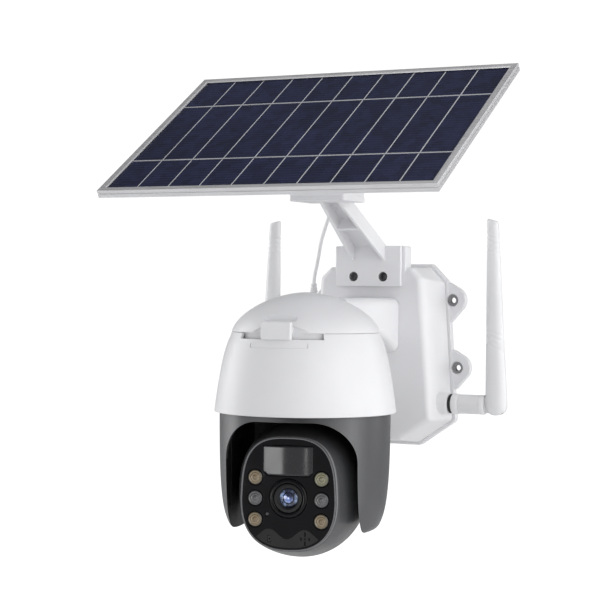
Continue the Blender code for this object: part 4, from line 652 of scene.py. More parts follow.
def make_bracket():
    front = FRONT_OF_BOX - GAP
    foot = filleted([(FOOT_HALF, TAB_Z[0]), (FOOT_HALF, TAB_Z[1]), (FOOT_CUT - FOOT_HALF, TAB_Z[1]),
                     (-FOOT_HALF, TAB_Z[1] - FOOT_CUT), (-FOOT_HALF, TAB_Z[0])], 0.9, 3)
    holes = [disc((side * SCREW_X, SCREW_Z), SCREW_RADIUS + 0.35, 32) for side in (-1, 1)]
    plate = slab("bracket_foot", [foot] + holes, -front, -front + FOOT_THICKNESS, WHITE, UPRIGHT, 0.5)
    along = ARM_TIP - ARM_ROOT
    up = Vector((0, along.z, -along.y)).normalized()

    def section(share, inset, low, high):
        half = ARM_HALVES[0] + (ARM_HALVES[1] - ARM_HALVES[0]) * share - inset
        base = ARM_ROOT + along * share
        return [base + Vector((x, 0, 0)) + up * height
                for x, height in ((-half, low), (half, low), (half, high), (-half, high))]

    arm = skin("bracket_arm", [section(-0.03, 0, 0, ARM_DEPTH), section(1.06, 0, 0, ARM_DEPTH)], WHITE)
    hollows = [skin("arm_hollow", [section(start, ARM_WEB, -10, ARM_DEPTH - ARM_WEB),
                                   section(end, ARM_WEB, -10, ARM_DEPTH - ARM_WEB)], WHITE)
               for start, end in ARM_BAYS]
    carve(arm, *hollows, bar("arm_trim", (80, 40, 120), (0, front - 1.5 + 20, 70)))
    soften(arm, 0.6, 3)
    pad = slab("bracket_pad", [rounded_box(PAD_HALF, PAD_Y[0], PAD_Y[1], 2.0)], *PAD_Z, WHITE, WORLD, 0.6)
    into_panel = PANEL @ Matrix.Scale(MM, 4)
    top = LAMINATE_BOTTOM - GAP

    def stem_ring(share):
        eased = share ** 1.15
        low = [Vector((x, y, 0)) for x, y in rounded_box(PAD_HALF - 0.3, PAD_Y[0] + 0.3, PAD_Y[1] - 0.3, 2.0)]
        high = rounded_box(STEM_TOP[0] - 0.2, 0.2 - STEM_TOP[1], STEM_TOP[1] - 0.2, 3.0)
        ring = []
        for start, (x, y) in zip(low, high):
            start = Vector((start.x, start.y, PAD_Z[1] - 0.8))
            end = (into_panel @ Vector((x, y, top - 2.0))) / MM
            ring.append(start.lerp(end, eased))
        return ring

    stem = skin("bracket_stem", [stem_ring(i / 10) for i in range(11)], WHITE)
    flange = slab("bracket_flange", [rounded_box(STEM_TOP[0] + 8, -STEM_TOP[1], STEM_TOP[1], 4.0)]
                  + [disc((side * (STEM_TOP[0] + 4.4), 0), 1.8, 24) for side in (-1, 1)],
                  top - 3.0, top, WHITE, PANEL, 0.5)
    belongs(plate, HOUSING, "white_plastic", "panel_bracket")
    for piece in (arm, pad, stem, flange):
        belongs(piece, HOUSING, "white_plastic")
    for side, label in ((-1, "left"), (1, "right")):
        seat = Vector((side * SCREW_X, front - FOOT_THICKNESS + 1.9, SCREW_Z))
        screw_head("foot_screw_" + label, Matrix.Translation(seat * MM) @ UPRIGHT, SCREW_RADIUS, 2.0,
                   DARK_STEEL, "dark_steel", "bracket_screw_" + label)


def screw_head(name, at, radius, height, look, slot, *nodes):
    """Pan head with a cross recess, its seat at local z = 0."""
    profile = [(0, height), (radius * 0.55, height * 0.96), (radius * 0.82, height * 0.78),
               (radius * 0.97, height * 0.42), (radius, height * 0.1), (radius, 0), (0, 0)]
    head = lathe(name, profile, look, at, 40)
    carve(head, bar("recess", (radius * 1.15, radius * 0.26, height), (0, 0, height), look, at),
          bar("recess", (radius * 0.26, radius * 1.15, height), (0, 0, height), look, at))
    return belongs(head, HOUSING, slot, *nodes, flat=False)


# --- battery box -----------------------------------------------------------------------------------
# right-hand corners (half width, height) of the cover's front face and of its back edge
BOX_FRONT = ((23.5, -58.5), (47.0, -43.5), (39.3, 56.6), (32.0, 63.6))
BOX_BACK = ((24.6, -62.2), (50.4, -44.8), (43.6, 53.0), (32.6, 64.2))
BOX_CORNER = 3.4
COVER_BACK = 6.3
FLANGE_LIP = 2.2
COVER_SCREWS = ((34.4, 46.5), (40.5, -42.5))
EARS = ((49.3, 40.5), (53.3, -7.8))
EAR_RADIUS = 9.8
EAR_THICKNESS = 5.6
FLANGE_THICKNESS = 6.0
FLANGE_ROUND = 3.6
COVER_EDGE = 4.2                    # rounding round the cover's front
NECK_HALF = 22.5
ANTENNA_Y = -21.7
ANTENNA_Z = -32.4


def box_outline(share, distance, radius=BOX_CORNER):
    """Cover outline between its front face (0) and its back edge (1), moved out by a distance."""
    right = [tuple(a + (b - a) * share for a, b in zip(*ends)) for ends in zip(BOX_FRONT, BOX_BACK)]
    return filleted(grown(right + [(-x, z) for x, z in reversed(right)], distance), radius)


def make_cover():
    front = -FRONT_OF_BOX

    def ring(distance, depth):
        outline = box_outline((front - depth) / (front - COVER_BACK), distance, BOX_CORNER + distance / 4)
        return [(x, -depth, z) for x, z in outline]

    rings = [ring(0, COVER_BACK)]
    for step in range(9):
        turn = math.radians(90 * step / 8)
        rings.append(ring(-COVER_EDGE * (1 - math.cos(turn)), front - COVER_EDGE * (1 - math.sin(turn))))
    cover = skin("box_cover", rings, WHITE)
    carve(cover, bar("sealing_face", (80, 2.4, 100), (0, -COVER_BACK, 0)),
          *[lathe("socket_recess", [(0, 40), (8.3, 40), (8.3, 0), (0, 0)], WHITE, antenna_axis(side, 0), 48)
            for side in (-1, 1)])
    belongs(cover, HOUSING, "white_plastic", "box_front_cover")
    corners = [(TAB_HALF, TAB_Z[0]), (TAB_HALF, TAB_Z[1]), (-TAB_HALF, TAB_Z[1]), (-TAB_HALF, TAB_Z[0])]
    tab = slab("bracket_tab", [filleted(corners, 1.2, 4)], front - TAB_DEPTH, front - 0.05, WHITE,
               UPRIGHT, 0.9)
    belongs(tab, HOUSING, "white_plastic")


def ear_shape(side, place):
    x, z = place
    points = [(x - 14, z - 15), (x - 3, z - 16.2), (x - 0.6, z - 15.2)]
    points += arc((x, z), EAR_RADIUS, -50, 60, 22)
    points += [(x - 2.4, z + 12.6), (x - 5.6, z + 13.4), (x - 14, z + 13.5)]
    return [(side * px, pz) for px, pz in points]


def make_rear_shell():
    outline = box_outline(1, FLANGE_LIP, FLANGE_ROUND)
    shell = slab("box_back", [outline], 0.0, FLANGE_THICKNESS, WHITE, UPRIGHT, 0.7)
    ears = [slab("ear", [ear_shape(side, place)], 0.06, EAR_THICKNESS, WHITE, UPRIGHT, 0.8)
            for side in (-1, 1) for place in EARS]
    weld(shell, *ears)
    bore = [(0, 12), (4.9, 12), (4.9, 5.95), (4.3, 5.2), (4.3, 3.4), (3.0, 3.4), (3.0, -3), (0, -3)]
    head = [(0, 2.6), (3.2, 2.6), (3.2, -3), (0, -3)]
    tools = []
    for side in (-1, 1):
        for profile, places in ((bore, EARS), (head, COVER_SCREWS)):
            tools += [lathe("hole", profile, WHITE, wall_point(side * x, z), 48) for x, z in places]
    carve(shell, *tools)
    belongs(shell, HOUSING, "white_plastic", "box_rear_shell")
    eyelet = [(2.1, 0.5), (2.95, 0.5), (2.95, 3.5), (3.9, 3.5), (4.0, 3.8), (3.9, 4.1), (2.5, 4.1),
              (2.1, 3.7)]
    for side, label in ((-1, "left"), (1, "right")):
        for (x, z), level in zip(EARS, ("upper", "lower")):
            ring = lathe("eyelet_%s_%s" % (level, label), eyelet, BRIGHT_GREY, wall_point(side * x, z), 48,
                         closed=True)
            belongs(ring, HOUSING, "steel", flat=False)


def wall_point(x, z):
    """Frame at a point of the wall face, local Z pointing away from the wall."""
    return Matrix.Translation((x * MM, 0, z * MM)) @ UPRIGHT


# --- panel cable and its gland ---------------------------------------------------------------------
# the cable's line from the junction box down to the gland, as the CAD model has it, in metres
CABLE_ROUTE = ((-0.0296, -0.0864, 0.1758), (-0.0360, -0.0866, 0.1744), (-0.0395, -0.0855, 0.1660),
               (-0.0370, -0.0810, 0.1510), (-0.0295, -0.0720, 0.1340), (-0.0230, -0.0620, 0.1180),
               (-0.0240, -0.0550, 0.1050), (-0.0300, -0.0500, 0.0940), (-0.0382, -0.0405, 0.0835),
               (-0.0433, -0.0340, 0.0740), (-0.0470, -0.0300, 0.0650), (-0.0500, -0.0274, 0.0575),
               (-0.0508, -0.0270, 0.0522))
CABLE_RADIUS = 1.3
GLAND_HEIGHT = 30.0


def smooth_route(points, pieces):
    """Points along a Catmull-Rom curve through the route."""
    points = [Vector(p) for p in points]
    ends = [2 * points[0] - points[1]] + points + [2 * points[-1] - points[-2]]
    result = [points[0]]
    for a, b, c, d in zip(ends, ends[1:], ends[2:], ends[3:]):
        for i in range(1, pieces + 1):
            t = i / pieces
            result.append(0.5 * (2 * b + (c - a) * t + (2 * a - 5 * b + 4 * c - d) * t ** 2
                                 + (3 * b - a - 3 * c + d) * t ** 3))
    return result


def make_cable():
    curve = bpy.data.curves.new("cable", "CURVE")
    curve.dimensions = "3D"
    curve.bevel_depth = CABLE_RADIUS * MM
    curve.bevel_resolution = 7
    curve.use_fill_caps = True
    route = smooth_route(CABLE_ROUTE, 6)
    spline = curve.splines.new("POLY")
    spline.points.add(len(route) - 1)
    for point, place in zip(spline.points, route):
        point.co = (*place, 1.0)
    cable = placed("panel_lead", mesh_from_curve("panel_lead", curve), WHITE_FINE, WORLD)
    belongs(cable, HOUSING, "white_plastic", "panel_cable", flat=False)
    at = Matrix.Translation((CABLE_ROUTE[-1][0], CABLE_ROUTE[-1][1], GLAND_HEIGHT * MM))
    profile = [(0, 22.0), (1.75, 22.0)]
    for step in range(4):
        base = 20.9 - 2.1 * step
        wide = 2.2 + 0.32 * step
        profile += [(wide, base), (wide, base - 1.1), (wide - 0.45, base - 1.4), (wide - 0.4, base - 1.9)]
    profile += [(3.4, 12.6), (3.8, 12.3), (3.9, 11.8), (3.9, 3.0), (3.7, 2.6), (3.7, 2.2), (3.9, 1.9),
                (3.9, -4.2), (3.5, -5.0), (0, -5.0)]
    body = lathe("gland_body", profile, WHITE_FINE, at, 48)
    belongs(body, HOUSING, "white_plastic", "cable_gland", flat=False)
    profile = [(0, 11.0), (3.8, 11.0), (3.8, 1.2), (3.5, 0.6), (3.4, 0), (0, 0)]
    elbow = lathe("gland_elbow", profile, WHITE_FINE, at @ Matrix.Rotation(math.radians(90), 4, "Y"), 40)
    belongs(elbow, HOUSING, "white_plastic", flat=False)


# --- antennas --------------------------------------------------------------------------------------
BLADE_AXIS = 89.4                   # x of the fold pin
BLADE_ROOT = 7.8
BLADE_TIP = 4.0
BLADE_TOP = 98.0
FORK_SLOT = 5.4
TONGUE_RADIUS = 5.6
RIB_STARTS = (41.0, 107.0)          # first groove of each group above the fold pin
RIBS = 4
RIB_PITCH = 3.4
RIB_DEPTH = 0.32
RIB_LEAN = 0.45


def antenna_axis(side, distance):
    """Frame on the antenna's axis with local Z pointing away from the box."""
    return (Matrix.Translation((side * distance * MM, ANTENNA_Y * MM, ANTENNA_Z * MM))
            @ Matrix.Rotation(math.radians(90 * side), 4, "Y"))


def make_antenna(side, label):
    socket = [(3.0, 42.6), (8.2, 42.6), (8.2, 46.4), (8.0, 48.0), (7.8, 49.6), (7.6, 51.4), (7.6, 53.9),
              (7.4, 54.4), (6.9, 54.6), (3.0, 54.6)]
    belongs(lathe("socket_" + label, socket, WHITE_FINE, antenna_axis(side, 0), 64, closed=True),
            HOUSING, "white_plastic", "antenna_socket_" + label, flat=False)
    washer = [(2.7, 54.9), (6.5, 54.9), (6.8, 55.2), (6.8, 57.4), (2.7, 57.4)]
    belongs(lathe("washer_" + label, washer, RUBBER, antenna_axis(side, 0), 64, closed=True),
            "antenna_knuckle_" + label, "rubber_seal", flat=False)
    knuckle = [(0, 44.8), (2.6, 44.8), (2.6, 57.1), (6.7, 57.1), (7.15, 57.4), (7.3, 57.9), (7.3, 61.2),
               (7.0, 61.8), (6.5, 62.0), (6.5, 62.5), (6.8, 62.8), (6.8, 76.6), (6.5, 76.9), (6.5, 77.4),
               (6.9, 77.7), (6.9, 80.6), (6.6, 81.1), (5.4, 81.2), (0, 81.2)]
    piece = lathe("knuckle_" + label, knuckle, WHITE_FINE, antenna_axis(side, 0), 64)
    fold = Matrix.Translation((side * BLADE_AXIS * MM, ANTENNA_Y * MM, ANTENNA_Z * MM)) @ UPRIGHT
    outline = arc((0, 0), TONGUE_RADIUS, -90, 90, 20) + [(-10, TONGUE_RADIUS), (-10, -TONGUE_RADIUS)]
    half = FORK_SLOT / 2 - GAP
    outwards = fold @ Matrix.Diagonal((side, 1, 1, 1))
    tongue = slab("tongue", [outline], -half, half, WHITE_FINE, outwards, 0.2, 1)
    weld(piece, tongue)
    belongs(piece, "antenna_knuckle_" + label, "white_plastic", "antenna_knuckle_" + label, flat=False)
    profile = [(0, 4.4), (1.3, 4.4), (1.6, 4.1), (1.6, -4.1), (1.3, -4.4), (0, -4.4)]
    pin = lathe("fold_pin_" + label, profile, STEEL, fold, 24)
    belongs(pin, "antenna_blade_" + label, "steel", "antenna_pin_" + label, flat=False)
    make_blade(side, label)


def rib_depth(height, x, side):
    """Slanted grooves in two groups near the top and near the foot of the stick."""
    lean = height + RIB_LEAN * side * x
    places = [start + RIB_PITCH * step for start in RIB_STARTS for step in range(RIBS)]
    return sum(RIB_DEPTH * math.exp(-((lean - place) / 0.75) ** 2) for place in places)


def make_blade(side, label):
    height = BLADE_TOP - ANTENNA_Z
    at = Matrix.Translation((side * BLADE_AXIS * MM, ANTENNA_Y * MM, ANTENNA_Z * MM))
    turns = [2 * math.pi * i / 48 for i in range(48)]

    def ring(radius, z, squash=1.0, slope=0.0):
        centre = -side * (BLADE_ROOT - radius)
        points = []
        for a in turns:
            c, s = math.cos(a), math.sin(a)
            x = radius * squash * math.copysign(abs(c) ** 0.86, c)
            y = radius * squash * 0.78 * math.copysign(abs(s) ** 0.86, s)
            shrink = 1 - rib_depth(z, x, side) / radius if z > 20 else 1.0
            points.append((centre + x * shrink, y * shrink, z + slope * x * side))
        return points

    rings = []
    for degrees in range(12, 90, 9):
        turn = math.radians(degrees)
        rings.append(ring(BLADE_ROOT, -BLADE_ROOT * math.cos(turn), math.sin(turn)))
    stations = [0.0, 6.0, 12.0, 20.0, 30.0, 38.0] + [38.6 + 0.6 * i for i in range(28)]
    stations += [58.0, 72.0, 88.0, 100.0, 104.0] + [104.6 + 0.6 * i for i in range(28)] + [124.0]
    for z in stations:
        rings.append(ring(BLADE_ROOT + (BLADE_TIP - BLADE_ROOT) * z / height, z))
    for below_top, squash in ((2.2, 1.0), (1.4, 0.93), (1.05, 0.8)):
        rings.append(ring(BLADE_TIP, height - below_top, squash, -0.3))
    blade = skin("stick_" + label, rings, WHITE_FINE, at)
    carve(blade, bar("fork_slot", (26, FORK_SLOT, 22), (-side * 7.1, 0, -4.4), WHITE_FINE, at))
    belongs(blade, "antenna_blade_" + label, "white_plastic", "antenna_blade_" + label, flat=False)


# --- dome cap, neck and hood -----------------------------------------------------------------------
SEAM_RADIUS = 49.2
SEAM_HEIGHT = 50.7
CAP_HEIGHT = 28.0
CAP_ROUNDNESS = 1.72
NECK_TOP = 42.0
NECK_BOTTOM = 3.4
NECK_START = 42.0                   # behind the dome's axis
NECK_STRAIGHT = 0.12                # share of its length before its underside falls
HOOD_WALL = 2.5
HOOD_PROFILE = ((60.0, 0.0), (58.6, 11.0), (56.6, 24.0), (54.0, 37.0), (51.3, 46.0), (49.4, 50.4))
SEAM_SPLIT = 52.4                   # top edge of the hood above the rim
POCKET_DEPTH = 10.0
POCKET_BACK = 40.6                  # back wall of the finger pocket, from the dome's axis
POCKET_FLOOR = 57.0
SKIRT_RADIUS = 46.5
SKIRT_BOTTOM = 45.5
CATCH_BEARING = 4.6
CATCH_HALF = 10.2
CATCH_TOP = 59.8
SLOT_ANGLE = 24.0
LATCH_LINE = 43.2                   # height of the fine line below the slots


def hood_radius(height):
    """Outer radius of the hood, smooth through its profile's points."""
    points = [Vector(p) for p in HOOD_PROFILE]
    ends = [2 * points[0] - points[1]] + points + [2 * points[-1] - points[-2]]
    for a, b, c, d in zip(ends, ends[1:], ends[2:], ends[3:]):
        if b.y <= height <= c.y:
            t = (height - b.y) / (c.y - b.y)
            slope_in = (c.x - a.x) / (c.y - a.y) * (c.y - b.y)
            slope_out = (d.x - b.x) / (d.y - b.y) * (c.y - b.y)
            return ((2 * t ** 3 - 3 * t ** 2 + 1) * b.x + (t ** 3 - 2 * t ** 2 + t) * slope_in
                    + (3 * t ** 2 - 2 * t ** 3) * c.x + (t ** 3 - t ** 2) * slope_out)
    return HOOD_PROFILE[-1][0]


def cap_profile(inset):
    """Cap outline from its top to the seam, (radius, height above the rim)."""
    top = CAP_HEIGHT - inset
    points = [(0.0, SEAM_HEIGHT + top)]
    for step in range(1, 25):
        share = math.cos(math.radians(90 * step / 24))
        radius = (SEAM_RADIUS - inset) * (1 - share ** CAP_ROUNDNESS) ** (1 / CAP_ROUNDNESS)
        points.append((radius, SEAM_HEIGHT + top * share))
    return points


def cap_radius(height):
    """Outer radius of the cap at a height above the rim."""
    share = max(0.0, height - SEAM_HEIGHT) / CAP_HEIGHT
    return SEAM_RADIUS * (1 - share ** CAP_ROUNDNESS) ** (1 / CAP_ROUNDNESS)


def neck_ring(y, bottom, inset, round_by=6.0):
    shape = rounded_box(NECK_HALF - inset, bottom + inset, NECK_TOP - inset, round_by, 8)
    return [(x, y, z) for x, z in shape]


def neck_rings(inset):
    dome_y = DOME.translation.y / MM
    start = dome_y + NECK_START
    base = SEAM_HEIGHT + RIM / MM + GAP
    reach = FRONT_OF_BOX - GAP - start
    rings = [neck_ring(dome_y + 18, base, inset)]
    for step in range(17):
        share = step / 16
        fall = max(0.0, share - NECK_STRAIGHT) / (1 - NECK_STRAIGHT)
        drop = (1 - math.cos(math.radians(90) * fall)) ** 1.25
        rings.append(neck_ring(start + reach * share, base + (NECK_BOTTOM - base) * drop, inset))
    return rings


def make_cap():
    split = SEAM_SPLIT + 0.25
    outer = [(r, z) for r, z in cap_profile(0.0) if z > split + 0.8]
    outer += [(cap_radius(split + 0.5), split + 0.5), (cap_radius(split) - 0.3, split)]
    inner = SKIRT_RADIUS - 1.2
    spigot = [(SKIRT_RADIUS + 0.3, split), (SKIRT_RADIUS, split - 0.6), (SKIRT_RADIUS, SKIRT_BOTTOM),
              (inner, SKIRT_BOTTOM), (inner, POCKET_FLOOR)]
    crown = [(r, z) for r, z in cap_profile(POCKET_DEPTH) if z > POCKET_FLOOR][::-1]
    cap = lathe("cap_shell", outer + spigot + crown, WHITE, DOME)
    neck = skin("neck", neck_rings(0), WHITE)
    hollow = cap_profile(HOOD_WALL) + [(SEAM_RADIUS - HOOD_WALL, 30), (0, 30)]
    inside = lathe("cap_inside", hollow, WHITE, DOME)
    carve(neck, inside)
    weld(cap, neck)
    size = (21.0, 16.0, 14.0)
    centre = (0, -POCKET_BACK - size[1] / 2, CATCH_TOP + GAP + size[2] / 2)
    pocket = bar("pocket", size, centre, WHITE, catch_frame())
    carve(cap, *wedges(), pocket)
    belongs(cap, HOUSING, "white_plastic", "dome_cap", sharp=28, flat=False)


def catch_frame():
    """On the dome's axis at the rim, local Y pointing away from the catch."""
    return DOME @ Matrix.Rotation(math.radians(CATCH_BEARING), 4, "Z")


def slot_bearings():
    tab = math.degrees(math.asin((CATCH_HALF - 0.4) / 50.0))
    left, right = CATCH_BEARING - tab, CATCH_BEARING + tab
    return ((left - SLOT_ANGLE, left), (right, right + SLOT_ANGLE))


def wedges():
    """Triangular scoops that run from the catch's shoulders down to the slots."""
    scoops = []
    for side, length in ((-1, 10.0), (1, 14.0)):
        outline = [(side * (CATCH_HALF - 0.6), 51.0), (side * (CATCH_HALF + length + 3), 51.0),
                   (side * (CATCH_HALF - 0.6), 57.6)]
        rings = [[(x, y, z) for x, z in outline] for y in (-56.0, -44.6)]
        scoops.append(skin("wedge", rings, WHITE, catch_frame()))
    return scoops


def make_hood():
    first, last, pieces = 0.9, 50.35, 26
    heights = [first + (last - first) * i / pieces for i in range(pieces + 1)]
    outer = [(hood_radius(h), h) for h in heights]
    low = hood_radius(0.0)
    top = SEAM_SPLIT
    profile = [(low - HOOD_WALL, 0.6), (low - HOOD_WALL + 0.5, 0.1), (low - 1.0, 0.0), (low - 0.35, 0.15)]
    profile += [(low, 0.55)] + outer + [(cap_radius(top) + 0.05, top - 0.5), (cap_radius(top) - 0.35, top)]
    profile += [(46.9, top)] + [(hood_radius(h) - HOOD_WALL, h) for h in (46.0, 37.0, 24.0, 11.0)]
    hood = lathe("hood_shell", profile, WHITE, DOME, closed=True)
    tools = [arc_bar("seam_slot", (46.7, 60), (48.6, 54.0), edges) for edges in slot_bearings()]
    ends = (CATCH_BEARING - 21.0, CATCH_BEARING + 23.0)
    line, notch = (LATCH_LINE - 0.1, LATCH_LINE + 0.2), (LATCH_LINE + 0.2, LATCH_LINE + 3.4)
    tools += [arc_bar("notch", (51.0, 60), notch, (bearing - 0.5, bearing + 0.5)) for bearing in ends]
    tools.append(arc_bar("latch_line", (hood_radius(LATCH_LINE) - 0.3, 60), line, ends, steps=40))
    carve(hood, *tools)
    belongs(hood, HOUSING, "white_plastic", "hood", sharp=28, flat=False)
    at = catch_frame() @ Matrix.Translation((0, -50.0 * MM, 0)) @ UPRIGHT
    tab = slab("catch_tab", [rounded_box(CATCH_HALF, 48.6, CATCH_TOP, 0.8, 4)], -2.0, 2.2, WHITE, at, 0.6)
    belongs(tab, HOUSING, "white_plastic", "front_catch")


# --- yoke ------------------------------------------------------------------------------------------
YOKE_PROFILE = ((55.0, 4.2), (56.3, 1.0), (56.2, -20.0), (55.5, -42.0), (53.8, -59.0), (51.0, -70.0),
                (47.0, -75.8), (38.0, -78.2))
YOKE_SLOT_HALF = 43.6
YOKE_SLOT_TOP = -3.4
YOKE_SLOT_ROUND = 26.0
YOKE_WALL = 2.6
YOKE_BACK_FOOT = -66.0
TILT_DROP = -50.0                   # tilt axis, from the hood's rim


def smooth_profile(points, pieces):
    return [(p.x, p.y) for p in smooth_route([(r, z, 0) for r, z in points], pieces)]


def make_yoke():
    side_profile = smooth_profile(YOKE_PROFILE, 5)
    bottom = side_profile[-1][1]
    yoke = lathe("yoke_body", [(0.0, 4.6), (52.0, 4.6)] + side_profile + [(0.0, bottom)], YOKE_GREY_PAINTED_SHEEN, PAN)
    inner = [(r - YOKE_WALL, z) for r, z in side_profile if YOKE_SLOT_TOP > z > bottom + 5.2]
    room = lathe("head_room", [(0, YOKE_SLOT_TOP), (inner[0][0], YOKE_SLOT_TOP)] + inner
                 + [(inner[-1][0], -90), (0, -90)], GREY, PAN)
    between = bar("between_arms", (2 * YOKE_SLOT_HALF, 140, 200), (0, 0, -60), GREY, PAN)
    combined(room, [between], "INTERSECT")
    outline = rounded_box(YOKE_SLOT_HALF, -110, YOKE_SLOT_TOP, YOKE_SLOT_ROUND, 18)
    opening = slab("yoke_opening", [outline], 0, 70, GREY, PAN @ UPRIGHT)
    foot = bar("below_back_wall", (2 * YOKE_SLOT_HALF, 70, 70), (0, 35, YOKE_BACK_FOOT - 35), GREY, PAN)
    carve(yoke, room, opening, foot)
    soften(yoke, 0.9, 3, 40)
    belongs(yoke, YOKE, "grey_plastic", "yoke_shell", sharp=35)
    # Painted shade: faces inside the yoke, the same grey plastic lying in shadow, get matt black.
    yoke.data.materials.append(MATT_BLACK)
    for face in yoke.data.polygons:
        x, y, z = face.center / MM
        outer = 53.0 - max(0.0, -60 - z) * 0.45
        inside = math.hypot(x, y) < outer and z < 3 and abs(x) < YOKE_SLOT_HALF + 0.5
        face.material_index = 1 if inside else 0
    # Painted shade: thin matt black sheets over the arms' inner sides and matt black trunnion bosses, where
    # the grey arms lie in shadow.
    for side, label in ((-1, "left"), (1, "right")):
        at = (PAN @ Matrix.Translation((side * YOKE_SLOT_HALF * MM, 0, 0))
              @ Matrix.Rotation(math.radians(-90 * side), 4, "Y"))
        cover = slab("arm_painted_shade_" + label, [[(side * z, y) for y, z in rounded_box(24.0, 13, 62, 5.0)]],
                     0.0, 0.35, MATT_BLACK, at @ Matrix.Diagonal((-1, 1, 1, 1)), 0.15, 1)
        profile = [(0, 1.3), (5.7, 1.3), (6.0, 1.0), (6.0, -1.0), (0, -1.0)]
        to_axis = Matrix.Translation((side * TILT_DROP * MM, 0, 0))
        boss = lathe("trunnion_" + label, profile, MATT_BLACK, at @ to_axis, 40)
        belongs(cover, YOKE, "grey_plastic", "yoke_cheek_" + label)
        belongs(boss, YOKE, "grey_plastic")


# --- head ------------------------------------------------------------------------------------------
HEAD_HALVES = (42.3, 45.0)
HEAD_BACK = 42.0
FACE_HALVES = (31.2, 36.2)
FACE_SHOULDER = 3.0
FACE_CHIN = 2.45
FACE_TAPER = 0.05
SHELL_STEP = 0.9
FACE_THICKNESS = 2.6
SHELL_FRONT = GAP + FACE_THICKNESS - FACE_DISTANCE
LENS_HEIGHT = -2.5
GLASS_RADIUS = 6.2
GLASS_EDGE = -2.2                   # behind the face
GLASS_CROWN = 1.4
LED_COLUMN = 21.8
LED_ROWS = (10.3, -3.0, -16.6)
PIR_HALF = 16.3
PIR_HEIGHTS = (11.9, 30.8)
PIR_BULGE = 1.6
PIR_MARGIN = 0.3                    # band behind the window's rounded edges
MICROPHONE = (-12.2, -28.6)
SPEAKER = (11.4, -28.0)
SENSOR = (-13.9, -12.9)


def face_outline(distance=0.0, count=96):
    return [superellipse(2 * math.pi * i / count, FACE_HALVES[0] + distance, FACE_HALVES[1] + distance,
                         FACE_SHOULDER, FACE_CHIN, FACE_TAPER) for i in range(count)]


def head_ring(y, inset=0.0):
    if y <= 0:
        share = math.sin(math.radians(90) * (1 - y / SHELL_FRONT))
        halves = [f + SHELL_STEP + (h - f - SHELL_STEP) * share for f, h in zip(FACE_HALVES, HEAD_HALVES)]
        squareness = 1 - share
    else:
        shrink = math.sqrt(max(0.0, 1 - (y / HEAD_BACK) ** 2))
        halves = [h * shrink for h in HEAD_HALVES]
        squareness = 0.0
    upper = 2 + (FACE_SHOULDER - 2) * squareness
    lower = 2 + (FACE_CHIN - 2) * squareness
    outline = [superellipse(2 * math.pi * i / ROUND, halves[0] - inset, halves[1] - inset, upper, lower,
                            FACE_TAPER * squareness) for i in range(ROUND)]
    return [(x, y, z) for x, z in outline]


def make_head_shell():
    lip = ((6.0, 3.0), (0.6, 2.4), (-0.9, 2.2), (-1.5, 1.6), (-1.7, 1.0), (-1.5, 0.45), (-0.9, 0.1))
    rings = [head_ring(SHELL_FRONT + behind, inset) for behind, inset in lip]
    rings += [head_ring(SHELL_FRONT * (1 - i / 22)) for i in range(23)]
    rings += [head_ring(HEAD_BACK * math.sin(math.radians(a))) for a in range(5, 88, 5)]
    shell = skin("head_cover", rings, HEAD_GREY_PAINTED_SHEEN, TILT)
    belongs(shell, HEAD, "grey_plastic", "head_shell", sharp=40, flat=False)


def chin_wave(x):
    return -25.3 + 3.2 * math.cos(2 * math.pi * (x + 12.5) / 23.5)


def pir_low(x):
    """Lower edge of the motion window, cut away towards its ends."""
    return PIR_HEIGHTS[0] + max(0.0, abs(x) - (PIR_HALF - 3.0)) * 0.8


def make_face():
    holes = [disc((0, LENS_HEIGHT), 12.7, 64)]
    holes += [disc((x, z), 5.2, 36) for x in (-LED_COLUMN, LED_COLUMN) for z in LED_ROWS]
    low, high = PIR_HEIGHTS
    holes.append([(-PIR_HALF - 0.3, low + 2.2), (3.0 - PIR_HALF, low - 0.3), (PIR_HALF - 3.0, low - 0.3),
                  (PIR_HALF + 0.3, low + 2.2), (PIR_HALF + 0.3, high + 0.3), (-PIR_HALF - 0.3, high + 0.3)])
    holes.append(disc(SENSOR, 1.5, 20))
    holes.append(rounded_hole(MICROPHONE, 1.3, 2.2))
    face = slab("face_panel", [face_outline()] + holes, -FACE_THICKNESS, 0.0, GLOSS_BLACK, FACE, 0.35, 2)
    belongs(face, HEAD, "black_gloss", "face_plate")
    rim = slab("face_rim", [face_outline(0.0), face_outline(-0.9)[::-1]], -0.8, 0.35, RIM_GREY, FACE, 0.25, 3)
    belongs(rim, HEAD, "grey_plastic")
    border = [(x, z) for x, z in face_outline(-2.1, 240) if z < chin_wave(x)]
    start = next(i for i in range(len(border)) if i == 0 or border[i][0] > border[i - 1][0] + 20)
    border = border[start:] + border[:start]
    left, right = border[0][0], border[-1][0]
    across = [right + (left - right) * i / 48 for i in range(1, 48)]
    outlines = [border + [(x, chin_wave(x)) for x in across], rounded_hole(MICROPHONE, 1.35, 2.25)]
    chin = slab("face_chin", outlines + speaker_holes(), -0.4, 0.35, MATT_BLACK, FACE, 0.15, 2)
    belongs(chin, HEAD, "black_gloss")
    cloth = slab("speaker_cloth", [disc(SPEAKER, 5.0)], -1.4, -0.5, BLACK, FACE, 0.1, 1)
    belongs(cloth, HEAD, "black_plastic", "speaker")
    outlines = [rounded_hole(MICROPHONE, 1.25, 2.15), disc(MICROPHONE, 0.5, 16)]
    port = slab("microphone_port", outlines, -2.0, -0.3, BLACK, FACE, 0.15, 1)
    belongs(port, HEAD, "black_plastic", "microphone")
    sensor = [(0, 0.35), (0.6, 0.25), (1.05, 0.0), (1.2, -0.4), (1.2, -2.2), (0, -2.2)]
    at = FACE @ Matrix.Translation((SENSOR[0] * MM, SENSOR[1] * MM, 0))
    belongs(lathe("light_sensor", sensor, SENSOR_GREY, at, 32), HEAD, "led_clear", flat=False)


def rounded_hole(centre, half_width, half_height, radius=0.6):
    shape = rounded_box(half_width, -half_height, half_height, radius, 4)
    return [(centre[0] + x, centre[1] + y) for x, y in shape]


